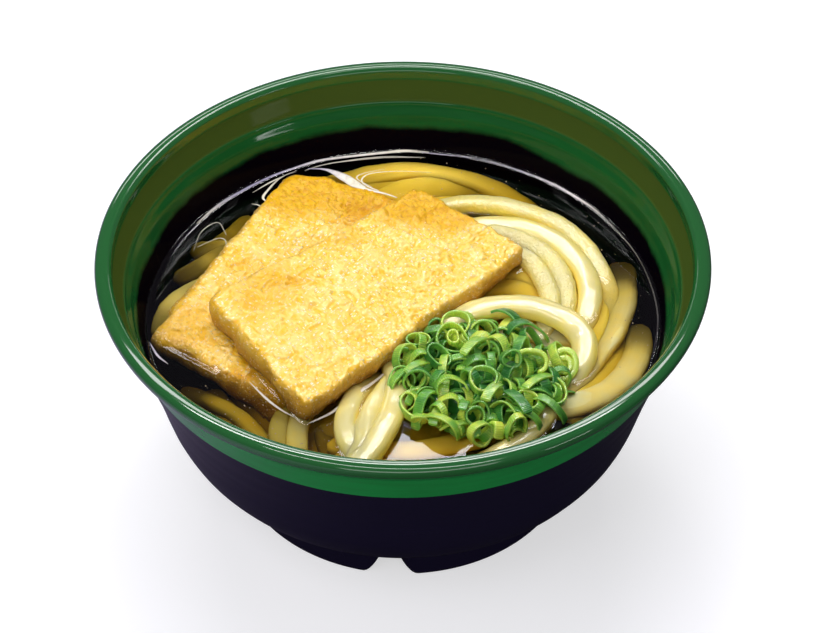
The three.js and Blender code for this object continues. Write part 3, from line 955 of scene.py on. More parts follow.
        # Painted glow: the yellow share rises from the crown down the shaded sides, and `gold` spreads it all
        # round.
        painted_glow = np.maximum(fade((1 - np.sin(angle)) / 1.3), run.gold)
        return rings, {"painted_glow": painted_glow, "murk": murk * np.clip(edges, 0, 1), "rough": run.rough}

    def add_strands(self, skin: Skin, runs: tuple, thickness: float, spacing: float, sides: int) -> None:
        """Adds a strand of this thickness for each run, with its marks."""
        for i, run in enumerate(runs):
            skin.add_tube(*self.strand(run, thickness, spacing, sides, self.first_seed + self.seed_step * i))

    def build(self) -> None:
        """Makes the raised noodles in place of their CAD node, and the sunken ones with the core."""
        wet = NoodleSkin("noodle_skin", 0.28, 0.6).build()
        soaked = NoodleSkin("noodle_in_broth", 0.9, 0.0, 0.0, (0.70, 0.70, 0.42), (0.93, 0.71, 0.12)).build()
        raised, sunken = Skin(), Skin()
        self.add_strands(raised, self.raised, self.thickness, self.raised_spacing, self.raised_sides)
        thinner = (self.sunken_thickness, self.sunken_spacing, self.sunken_sides)
        self.add_strands(sunken, self.sunken, *thinner)
        core = spun(spline((*self.core_floor, *self.core_crown), 6), 90)
        core += np.array([*self.core_centre, 0.0])
        core[..., 2] += self.core_swell * Unevenness(8, 5, 2).at(core)
        # The core takes the painted yellow glow all over.
        sunken.add_tube(core, {"painted_glow": 1.0, "murk": 0.0, "rough": 0.0})
        raised.make("noodles_raised", wet, "noodles", "noodles")
        sunken.make("noodles_sunken", soaked, "noodles")


# Fried tofu.


@dataclass(frozen=True)
class Spot:
    """A browned spot on a slice: where it is, from -1 to 1 each way, how far it reaches and how dark."""

    along: float
    across: float
    reach: float
    depth: float


@dataclass(frozen=True)
class Crease:
    """A crease in a slice's top: its stations in the slice's own millimetres, its width and its depth."""

    line: tuple
    width: float
    depth: float

    def at(self, points: Array) -> Array:
        """How deep the crease is at each point: e to the power -(distance / width)²."""
        stations = spline(self.line, 6)
        gaps = np.linalg.norm(points[..., None, :2] - stations, axis=-1)
        taper = np.sin(np.linspace(0.15, math.pi - 0.15, len(stations)))
        return self.depth * (taper * np.exp(-((gaps / self.width) ** 2))).max(-1)


@dataclass
class FriedTofu:
    """One slice of fried tofu: a soft-edged slab with a crinkled skin."""

    name: str
    node: str
    centre: tuple
    heading: float
    roll: float
    length: float
    length_taper: float
    width: float
    width_taper: float
    corners: tuple
    creases: tuple
    toasting: tuple
    seed: int
    thickness: float = 8.6
    edge: float = 3.0
    softness: float = 0.66
    soaking: float = 1.0
    bulge: float = 1.1
    swell: float = 0.38
    warp: float = 1.3
    folds: float = 0.42
    wrinkles: float = 0.17
    curling: float = 8.0
    ridges: float = 0.22
    flecks: float = 0.14
    squareness: int = 12
    spacing: float = 0.28
    side_rows: int = 14
    under_rows: int = 6

    def corner(self, u: Array, v: Array) -> Array:
        """Rounding in plan of the corner nearest to (u, v)."""
        near, far = self.corners[:2], self.corners[2:]
        return np.where(v < 0, np.where(u < 0, *near), np.where(u < 0, *far))

    def halves(self, u: Array, v: Array) -> Array:
        """Half the length at v and half the width at u: half the side less its taper times the other."""
        return np.stack([self.length / 2 - self.length_taper * v, self.width / 2 - self.width_taper * u])

    def outline(self, u: Array, v: Array, w: Array) -> Array:
        """The slab's own surface at (u, v, w), each from -1 to 1.

        Corners are rounded in plan, the sides come in by edge (1 - cos(w pi/2)^softness), and the height
        is thickness / 2 sin(w pi/2)^softness.
        """
        way, half = np.stack([u, v]), self.halves(u, v)
        past = np.maximum(np.abs(way) * half - (half - self.corner(u, v)), 0)
        keep = past.max(0) / np.maximum(np.hypot(*past), 1e-9)
        inset = self.edge * (1 - np.cos(w * math.pi / 2) ** self.softness)
        x, y = np.sign(way) * (np.abs(way) * (half - inset) - past * (1 - keep))
        level = np.sin(w * math.pi / 2)
        return np.stack([x, y, self.thickness / 2 * np.sign(level) * np.abs(level) ** self.softness], -1)

    def crinkle(self, points: Array) -> Array:
        """Height of the skin's relief: folds, curling wrinkles (the sine of a field), ridges and flecks."""
        warp = points + self.warp * Unevenness(4.2, self.seed + 40).shifts(points)
        folds = self.folds * Unevenness(3.6, self.seed + 3, 2).at(warp)
        wrinkles = self.wrinkles * np.sin(self.curling * Unevenness(3.3, self.seed + 12).at(warp))
        ridges = self.ridges * Unevenness(1.7, self.seed + 6).creases(warp)
        flecks = self.flecks * Unevenness(0.95, self.seed + 8).creases(warp)
        return folds + wrinkles + ridges + flecks

    def creased(self, points: Array) -> Array:
        """Depth of the creases pressed into the top."""
        return np.max([crease.at(points) for crease in self.creases], 0)

    def toast(self, u: Array, v: Array) -> Array:
        """How browned the skin is at (u, v): the strongest of its spots, each a smooth fall."""
        longer = self.length / self.width
        gaps = [np.hypot((u - spot.along) * longer, v - spot.across) / spot.reach for spot in self.toasting]
        return np.max([spot.depth * fade(1.6 - 1.6 * gap) for spot, gap in zip(self.toasting, gaps)], 0)

    def placed(self, points: Array) -> Array:
        """Rolls the slice about its length, turns it to its heading and moves it to its centre."""
        return turned(points, math.radians(self.roll), 0.0, math.radians(self.heading)) + self.centre

    def skin_at(self, u: Array, v: Array, w: Array) -> tuple[Array, Marks]:
        """The finished surface and its marks at (u, v, w).

        Args:
            u: from -1 to 1 along the slice.
            v: from -1 to 1 across it.
            w: from -1 at the underside to 1 at the top.

        Returns:
            The placed points, and the marks `crest`, `toast` and `wet`.
        """
        flat = self.outline(u, v, w)
        around = np.stack([*(np.sign(way) * np.abs(way) ** self.squareness for way in (u, v)), 0 * w], -1)
        flat += around * (self.bulge * Unevenness(8, self.seed + 21, 2).at(flat))[..., None]
        top = fade((w - 0.2) / 0.6)
        crinkle = top * self.crinkle(flat) + (1 - top) * self.crinkle(flat * np.array([0.5, 0.5, 2.4]))
        swell = self.swell * Unevenness(10, self.seed, 2).at(flat)
        outward = around + np.stack([0 * u, 0 * v, np.sin(w * math.pi / 2)], -1)
        outward /= np.linalg.norm(outward, axis=-1, keepdims=True) + 1e-9
        creased = self.creased(flat) * top
        points = flat + outward * (crinkle + swell)[..., None]
        points[..., 2] -= creased
        placed = self.placed(points)
        crest = np.clip(0.45 + 2.4 * (crinkle - 0.1), 0, 1)
        toast = np.clip(np.maximum(1.25 * self.toast(u, v) * top, 0.7 * creased), 0, 1)
        # The mark `wet` darkens the lower sides in the skin: partly soaking, partly painted shade.
        wet = self.soaking * fade((0.85 - w) / 0.3) * (0.5 + 0.5 * fade((67.0 - placed[..., 2]) / 3.5))
        return placed, {"crest": crest, "toast": toast, "wet": wet}

    def build(self, finish: bpy.types.Material) -> None:
        """Makes the slice: a fine grid for its top, rows down its sides, and a closed underside."""
        ways = [np.linspace(-1, 1, int(size / self.spacing)) for size in (self.length, self.width)]
        u, v = np.meshgrid(*ways, indexing="ij")
        skin = Skin()
        numbers = skin.add_points(*self.skin_at(u, v, np.ones_like(u)))
        skin.add_faces(numbers[:-1, :-1], numbers[1:, :-1], numbers[1:, 1:], numbers[:-1, 1:])
        edge_u, edge_v, above = rim(u), rim(v), rim(numbers)
        shrink = np.concatenate([np.ones(self.side_rows), np.linspace(1, 0.12, self.under_rows + 1)[1:]])
        levels = np.cos(np.arange(1, self.side_rows + 1) / self.side_rows * math.pi)
        levels = np.concatenate([levels, -np.ones(self.under_rows)])
        for level, scale in zip(levels, shrink):
            row = self.skin_at(edge_u * scale, edge_v * scale, np.full_like(edge_u, level))
            below = skin.add_points(*row)
            skin.add_faces(above, below, np.roll(below, -1), np.roll(above, -1))
            above = below
        middle = skin.add_points(*self.skin_at(np.zeros(1), np.zeros(1), -np.ones(1)))
        skin.add_faces(above, np.broadcast_to(middle, above.shape), np.roll(above, -1))
        skin.make(self.name, finish, "fried_tofu", self.node)


def fried_tofu() -> list[FriedTofu]:
    """The two slices, the lower one first."""
    lower = FriedTofu(
        name="fried_tofu_under",
        node="fried_tofu_lower",
        centre=(-34.7, 18.2, 55.2),
        heading=63.1,
        roll=5.6,
        length=96.4,
        length_taper=4.1,
        width=50.4,
        width_taper=0.4,
        corners=(4.0, 3.0, 5.0, 3.5),
        creases=(
            Crease(((-8, 20), (-3, 16), (1, 15)), 0.9, 0.9),
            Crease(((27, 4), (29, -2), (30, -7)), 0.7, 0.8),
            Crease(((14, 24), (16, 18), (15, 13)), 0.8, 0.6),
            Crease(((-34, 22), (-28, 15), (-30, 8)), 1.0, 0.7),
        ),
        toasting=(
            Spot(1, 1, 1.25, 1.0),
            Spot(-1, 1, 0.9, 0.5),
            Spot(-0.95, -0.2, 1.0, 0.15),
            Spot(1, 0.1, 0.9, 0.8),
        ),
        seed=900,
        edge=4.4,
        softness=0.82,
        soaking=0.4,
    )
    upper = FriedTofu(
        name="fried_tofu_over",
        node="fried_tofu_upper",
        centre=(-11.3, 5.9, 63.4),
        heading=43.1,
        roll=4.1,
        length=90.6,
        length_taper=3.7,
        width=48.6,
        width_taper=2.8,
        corners=(2.6, 2.2, 4.6, 3.4),
        creases=(
            Crease(((-27.9, 18.6), (-22.3, 18.4), (-17.9, 16.1), (-14.6, 14.2), (-8.9, 9.5)), 1.3, 1.2),
            Crease(((-38, 20), (-34, 16), (-31, 17)), 1.0, 0.7),
            Crease(((26, 22), (27, 19), (25, 17)), 0.9, 0.8),
            Crease(((-26, 6), (-20, 3), (-17, 4)), 0.9, 0.5),
        ),
        toasting=(
            Spot(1, 1, 1.1, 1.0),
            Spot(1, 0.3, 0.7, 0.7),
            Spot(-0.62, 0.9, 0.8, 0.4),
            Spot(0.2, 1.0, 0.5, 0.4),
        ),
        seed=400,
    )
    return [lower, upper]


# Spring onion.


class RingForm(Enum):
    """How a slice of leaf lies: a whole ring, an opened one, or two rings one in the other."""

    WHOLE = "whole"
    OPEN = "open"
    NESTED = "nested"


@dataclass(frozen=True)
class LeafSlice:
    """One slice of leaf: its middle, radius, length, green from 0 to 1 and its turns about X, Y and Z.

    An open slice goes round by `sweep` radians, its middle on top when it's turned by a quarter about X.
    """

    place: tuple
    radius: float
    length: float
    tone: float
    turns: tuple
    form: RingForm = RingForm.WHOLE
    sweep: float = 2 * math.pi
    wall: float = 0.7


def opened(
    place: tuple, radius: float, length: float, tone: float, turns: tuple, sweep: float, wall: float = 0.7
) -> LeafSlice:
    """An opened slice of leaf."""
    return LeafSlice(place, radius, length, tone, turns, RingForm.OPEN, sweep, wall)


@dataclass
class SpringOnion:
    """A heap of thin rings and curls cut from spring onion, over a low mound."""

    centre: tuple = (23.6, -29.6)
    radius: float = 24.0
    base: float = 59.4
    edge_height: float = 0.6
    crown_height: float = 6.6
    count: int = 104
    seed: int = 20117
    steps: int = 26
    corner: float = 0.16
    inner_size: float = 0.55
    # The dark mound under the slices stands for the shade deep in the heap.
    shadow_mound_reach: float = 0.84
    shadow_mound_depth: float = 3.2
    shadow_mound_swell: float = 1.3
    reach: float = 1.06
    bedding: float = 1.6
    jitter: tuple = (-1.2, 1.6)
    radii: tuple = (1.9, 4.4)
    radius_bias: float = 1.2
    open_growth: float = 1.5
    lengths: tuple = (2.2, 3.6)
    tones: tuple = (0.0, 0.85)
    tilts: tuple = (0.7, 1.6)
    leans: tuple = (-0.5, 0.5)
    spins: tuple = (-1.8, 1.8)
    sweeps: tuple = (1.2, 3.6)
    ovals: tuple = (0.0, 0.20)
    lobes: tuple = (-0.07, 0.07)
    openings: tuple = (-0.15, 0.3)
    walls: tuple = (0.8, 1.15)
    slants: tuple = (-0.25, 0.25)
    phases: tuple = (0.0, 6.28)
    placed: tuple = (
        LeafSlice((15.8, -11.6, 65.8), 4.4, 3.2, 0.85, (0.30, 0.1, 0.3)),
        LeafSlice((14.8, -18.8, 66.4), 5.0, 3.2, 0.50, (0.25, 0.1, 0.2)),
        LeafSlice((15.1, -19.4, 68.0), 1.9, 2.4, 1.20, (0.35, 0.0, 0.0)),
        LeafSlice((4.6, -17.1, 64.4), 3.1, 2.6, 0.60, (0.1, 0.1, 0.0)),
        LeafSlice((0.6, -22.0, 62.8), 2.6, 2.6, 0.30, (0.2, -0.3, 0.0)),
        opened((4.5, -26.1, 66.2), 3.6, 2.8, 0.95, (1.3, 0.0, 0.3), 3.4),
        opened((5.0, -29.5, 66.6), 12, 2.8, 0.60, (1.45, 0.1, 0.66), 0.95),
        opened((-1.6, -31.8, 62.4), 4.2, 2.2, 0.65, (0.4, -0.3, 1.2), 4.6),
        LeafSlice((3.9, -32.0, 63.2), 3.4, 3.0, 0.50, (0.3, -0.1, 0.0)),
        opened((14.6, -39.0, 68.2), 4.1, 3.4, 0.62, (1.15, 0.0, 0.2), 3.7),
        LeafSlice((23.8, -37.9, 68.4), 4.1, 3.0, 0.50, (0.35, 0.1, 0.0)),
        opened((39.3, -28.0, 67.0), 3.8, 3.2, 0.95, (0.5, 0.2, -0.3), 4.8, 1.2),
        LeafSlice((48.2, -25.6, 62.4), 4.2, 1.6, 1.30, (0.35, 0.1, 0.0), RingForm.NESTED, wall=1.6),
        LeafSlice((44.5, -37.1, 62.8), 4.5, 2.4, 0.45, (0.2, 0.1, 0.0), RingForm.NESTED),
        opened((41.0, -35.0, 66.2), 14, 2.8, 0.58, (1.4, 0.0, 0.80), 0.95),
        LeafSlice((32.3, -29.3, 68.8), 2.7, 4.0, 0.12, (0.9, 0.0, 0.3)),
        opened((34.5, -13.0, 64.4), 5.0, 2.0, 1.20, (0.35, 0.1, -0.5), 2.8),
        opened((31.6, -7.6, 63.2), 9, 3.0, 1.40, (1.2, 0.0, 1.10), 0.75),
        opened((3.6, -43.6, 62.6), 5.6, 2.8, 0.85, (0.2, -0.2, 1.9), 4.7),
        opened((13.4, -44.4, 66.4), 3.3, 3.2, 0.80, (1.25, 0.0, 0.0), 3.1),
        opened((6.2, -48.4, 62.9), 4.5, 3.0, 0.60, (1.2, 0.2, -0.3), 1.9),
        opened((10.5, -48.0, 64.2), 9, 2.8, 0.72, (1.5, 0.0, 1.25), 1.0),
        opened((14.4, -52.0, 62.6), 3.4, 2.8, 0.80, (1.3, 0.1, -0.4), 2.8),
        LeafSlice((21.4, -48.6, 63.4), 2.8, 3.0, 0.30, (0.6, 0.2, 0.0)),
        opened((26.7, -42.8, 68.6), 8, 3.2, 0.60, (1.5, 0.0, 1.10), 1.1),
        opened((31.0, -47.6, 64.6), 4.6, 3.0, 0.50, (0.8, 0.2, -0.9), 3.6),
        opened((27.8, -52.6, 62.4), 2.8, 3.2, 1.35, (1.1, 0.0, -1.2), 3.0, 1.3),
        LeafSlice((22.8, -55.0, 62.2), 3.4, 3.6, 0.78, (1.15, 0.1, 0.5)),
        opened((34.0, -44.0, 66.4), 14, 3.4, 0.42, (1.45, 0.0, -0.98), 0.95),
        LeafSlice((36.9, -42.6, 64.2), 3.1, 2.6, 0.75, (0.3, 0.1, 0.0)),
        opened((19.0, -46.6, 66.4), 6, 2.6, 0.65, (1.5, 0.0, 1.20), 0.8),
        opened((22.6, -21.4, 68.4), 14, 3.0, 0.58, (1.4, 0.0, 0.92), 1.0),
        opened((24.9, -11.4, 64.8), 4.2, 3.0, 0.65, (0.9, 0.0, 0.2), 3.8),
        opened((29.5, -21.0, 67.4), 4.6, 3.2, 0.70, (1.3, 0.2, -0.8), 2.4),
        LeafSlice((35.5, -22.0, 65.6), 3.4, 3.0, 0.35, (1.2, 0.3, 0.9)),
        LeafSlice((10.4, -26.4, 67.0), 3.4, 3.4, 0.10, (0.5, 0.2, 0.4)),
    )

    def mound(self, out: Array) -> Array:
        """Height of the mound at a distance from its centre: edge + (crown - edge)(1 - (out/radius)²)."""
        rise = self.crown_height - self.edge_height
        return self.base + self.edge_height + rise * np.maximum(1 - (out / self.radius) ** 2, 0)

    def ribbon(self, leaf: LeafSlice, draw: np.random.Generator) -> tuple[Array, Marks]:
        """One slice about the Z axis: a thick ribbon bent round, closed or open.

        The ribbon's middle line is radius (1 + a cos 2t + b cos 3t) in the direction t, an open slice's
        radius grows with t, and its section is a soft rectangle, wall thick and length high.

        Args:
            leaf: the slice.
            draw: where random numbers come from.

        Returns:
            The grid of points and its marks.
        """
        looped = leaf.form is not RingForm.OPEN
        t = np.linspace(-leaf.sweep / 2, leaf.sweep / 2, self.steps, endpoint=not looped) + math.pi / 2
        oval, lobe, turn = (draw.uniform(*span) for span in (self.ovals, self.lobes, self.phases))
        line = leaf.radius * (1 + oval * np.cos(2 * t + turn) + lobe * np.cos(3 * t + 2 * turn))
        if not looped:
            line *= 1 + draw.uniform(*self.openings) * (t - math.pi / 2) / math.pi
        wall = leaf.wall * draw.uniform(*self.walls)
        corner = 1 - self.corner
        thick = np.array([corner, -corner, -1, -1, -corner, corner, 1, 1]) * wall / 2
        tall = np.array([-1, -1, -corner, corner, 1, 1, corner, -corner]) * leaf.length / 2
        slant = draw.uniform(*self.slants) * min(leaf.radius, 5) * np.cos(t + draw.uniform(*self.phases))
        out = line[:, None] + thick
        up = tall + slant[:, None]
        grid = np.stack([out * np.cos(t)[:, None], out * np.sin(t)[:, None], up], -1)
        if not looped:
            ends = np.minimum(np.arange(self.steps), np.arange(self.steps)[::-1])[:, None, None]
            middle = grid.mean(1, keepdims=True)
            grid = middle + (grid - middle) * np.where(ends == 0, 0.5, 1.0)
            grid[..., 1] -= grid[..., 1].mean()
        drift = 0.2 * np.sin(t + draw.uniform(*self.phases))[:, None]
        edge = np.array([0.35, 0.35, 0.1, 0.1, 0.35, 0.35, 0.0, 0.0])
        tone = leaf.tone + drift + np.array([0.05, 0.2, 0.32, 0.32, 0.2, 0.05, -0.1, -0.1])
        return grid, {"tone": tone, "edge": edge, "arc": (leaf.radius * t)[:, None]}

    def scattered(self, draw: np.random.Generator) -> list[LeafSlice]:
        """Slices on a golden spiral over the mound, under the placed ones."""
        forms = (RingForm.OPEN, RingForm.WHOLE, RingForm.OPEN, RingForm.NESTED, RingForm.OPEN, RingForm.WHOLE)
        low, high = self.radii
        found = []
        for i in range(self.count):
            out = self.radius * self.reach * math.sqrt((i + 0.5) / self.count)
            angle = i * math.pi * (3 - math.sqrt(5))
            x = self.centre[0] + out * math.cos(angle)
            y = self.centre[1] + out * math.sin(angle)
            z = float(self.mound(out)) - self.bedding + draw.uniform(*self.jitter)
            form = forms[i % len(forms)]
            radius = low + (high - low) * draw.uniform() ** self.radius_bias
            length, tone = draw.uniform(*self.lengths), draw.uniform(*self.tones)
            turns = tuple(draw.uniform(*span) for span in (self.tilts, self.leans, self.spins))
            if form is RingForm.OPEN:
                radius, sweep = radius * self.open_growth, draw.uniform(*self.sweeps)
                found.append(opened((x, y, z), radius, length, tone, turns, sweep))
            else:
                found.append(LeafSlice((x, y, z), radius, length, tone, turns, form))
        return found

    def shadow_mound(self) -> tuple[Array, Marks]:
        """A dark, lumpy mound under the slices, its darkness painted shade deep in the heap, as rings from
        its flat underside up to its crown.
        """
        out = np.linspace(self.radius * self.shadow_mound_reach, 0.5, 16)
        low = BROTH_LEVEL - 0.8
        profile = np.stack([out, self.mound(out) - self.shadow_mound_depth], -1)
        profile = np.concatenate([[(0.5, low), (profile[0, 0], low)], profile])
        grid = spun(profile, 60) + np.array([*self.centre, 0.0])
        swell = self.shadow_mound_swell * Unevenness(3.2, 63, 2).at(grid)
        grid[..., 2] += np.where(grid[..., 2] > BROTH_LEVEL, swell, 0.0)
        # Dark green as painted shade deep in the heap.
        return grid, {"tone": -0.3, "edge": 0.0, "arc": 0.0}

    def build(self) -> None:
        """Makes the heap in place of its CAD node: a dark mound of painted shade, the scattered slices, the
        placed ones.
        """
        draw = np.random.default_rng(self.seed)
        skin = Skin()
        skin.add_tube(*self.shadow_mound())
        for leaf in [*self.scattered(draw), *self.placed]:
            sizes = (1.0, self.inner_size) if leaf.form is RingForm.NESTED else (1.0,)
            for size in sizes:
                grid, marks = self.ribbon(replace(leaf, radius=leaf.radius * size), draw)
                grid = turned(grid, *leaf.turns)
                lift = max(leaf.place[2], BROTH_LEVEL - grid[..., 2].min() - 0.5)
                grid += np.array([*leaf.place[:2], lift])
                skin.add_tube(grid, marks, leaf.form is not RingForm.OPEN)
        skin.make("spring_onion_rings", OnionLeaf().build(), "spring_onion", "spring_onion")


# Broth.


@dataclass
class Broth:
    """Clear broth that fills the bowl to its level and climbs a little wherever it meets a solid."""

    bowl: Bowl
    noodles: Noodles
    slices: list
    rings: int = 215
    columns: int = 400
    bite: float = 0.4
    overlap: float = 0.75
    wall_meniscus: tuple = (0.8, 1.7)
    tofu_meniscus: tuple = (0.35, 1.2)
    noodle_meniscus: tuple = (0.35, 1.1)
    swell: float = 0.05
    shore: float = 6.0
    skin_depth: float = 0.6
    steepness: float = 3.0
    sink: float = 3.0
    sunk_from: float = 2.2
    sunk_over: float = 1.5
    crowding: float = 1.25
    middle: float = 0.4

    def rise(self, distance: Array, height: float, width: float) -> Array:
        """Climb of the surface at a distance from a solid: height x (1 - distance / width)²."""
        return height * np.clip(1 - distance / width, 0.0, 1.0) ** 2

    def from_slice(self, x: Array, y: Array, tofu: FriedTofu) -> Array:
        """Distance from where a slice of tofu stands in the surface, below zero inside it."""
        heading, roll = math.radians(tofu.heading), math.radians(tofu.roll)
        dx, dy = x - tofu.centre[0], y - tofu.centre[1]
        along = dx * math.cos(heading) + dy * math.sin(heading)
        across = (dy * math.cos(heading) - dx * math.sin(heading)) / math.cos(roll)
        u, v = along / (tofu.length / 2), across / (tofu.width / 2)
        corner = tofu.corner(u, v)
        past = np.abs([along, across]) - tofu.halves(u, v) + corner
        plan = np.maximum(np.hypot(*np.maximum(past, 0)), past.max(0)) - corner
        top = tofu.centre[2] + tofu.thickness / 2 - self.skin_depth + across * math.sin(roll)
        return np.maximum(plan, (BROTH_LEVEL - top) * self.steepness)

    def from_noodle(self, x: Array, y: Array, run: Run) -> Array:
        """Distance from where a run of noodle stands in the surface."""
        path = run.path(2.0)
        depth = np.abs(BROTH_LEVEL - path[:, 2]) / (self.noodles.thickness / 2)
        half = run.width / 2 * np.sqrt(np.clip(1 - depth**2, 0.0, 1.0))
        half = np.where(depth < 1, half, -20.0)
        gaps = np.hypot(x[..., None] - path[:, 0], y[..., None] - path[:, 1]) - half
        return gaps.min(-1)

    def surface(self, x: Array, y: Array) -> Array:
        """Height of the broth's surface.

        The level, a faint swell and the highest climb near a solid. Inside a slice of tofu the sheet
        sinks away, so that it never shows through the skin.
        """
        wall = self.bowl.inside_radius(BROTH_LEVEL) - np.hypot(x, y)
        slices = [self.from_slice(x, y, tofu) for tofu in self.slices]
        climbs = [self.rise(wall, *self.wall_meniscus)]
        climbs += [self.rise(gap, *self.tofu_meniscus) for gap in slices]
        gaps = [self.from_noodle(x, y, run) for run in self.noodles.raised]
        climbs += [self.rise(gap, *self.noodle_meniscus) for gap in gaps]
        place = np.stack([x, y, 0 * x], -1)
        swell = self.swell * Unevenness(16, 77, 2).at(place)
        inside = fade((-np.min(slices, 0) - self.sunk_from) / self.sunk_over)
        return BROTH_LEVEL + swell * fade(wall / self.shore) + np.max(climbs, 0) - self.sink * inside

    def build(self) -> None:
        """Makes the broth in place of its CAD node: a belly just inside the wall, closed by its surface."""
        belly = spline(self.bowl.belly, 5)[::-1]
        top = BROTH_LEVEL + self.wall_meniscus[0]
        middle, brim = (NEAR_AXIS, belly[0, 1]), (self.bowl.inside_radius(top), top)
        under = np.concatenate([[middle], belly, [brim]])
        under = under + np.array([self.bite, -self.bite])
        under[0, 0] = NEAR_AXIS
        shell = spun(under, self.columns)
        edge = self.bowl.inside_radius(BROTH_LEVEL) + self.overlap
        share = np.linspace(0.0, 1.0, self.rings) ** self.crowding
        radius = edge * (1 - share) + self.middle * share
        sheet = spun(np.stack([radius, 0 * radius], -1), self.columns)
        sheet[..., 2] = self.surface(sheet[..., 0], sheet[..., 1])
        skin = Skin()
        skin.add_tube(np.concatenate([shell, sheet]), {})
        skin.make("broth_clear", ClearBroth().build(), "broth", "broth")


@dataclass(frozen=True)
class Streak:
    """A thin pale streak, partly oil and partly painted reflection: its stations of x, y and width, and how
    strong and warm it is along.
    """

    stations: tuple
    strength: tuple
    warmth: tuple = (1.0, 1.0)


def along_wall(radius: float, *stations: tuple) -> tuple:
    """Stations of x, y and width on a circle about the bowl's axis, from turns in degrees and widths."""
    turns = [(math.radians(turn), width) for turn, width in stations]
    return tuple((radius * math.cos(turn), radius * math.sin(turn), width) for turn, width in turns)


@dataclass(frozen=True)
class OilAndPaintedReflection:
    """Thin oil on the broth and painted reflections of the lamps on its meniscus, clear at their edges: lilac
    grey where cold and cream where warm.
    """

    # Lilac grey and cream: the colours of the painted reflections along the meniscus.
    cold: tuple = (0.55, 0.50, 0.72)
    warm: tuple = (0.95, 0.90, 0.70)

    def build(self) -> bpy.types.Material:
        """Mixes the colours by the mark `warm`, and thins them by the mark `veil`."""
        r = Recipe("oil_and_painted_reflection")
        thinned = r.times(r.mark("veil"), r.ramp(r.noise(1.5, 3.0), 0.25, 0.55, 0.7, 1.0))
        return r.shaded(Base_Color=r.mix(r.mark("warm"), self.cold, self.warm), Roughness=0.3, Alpha=thinned)


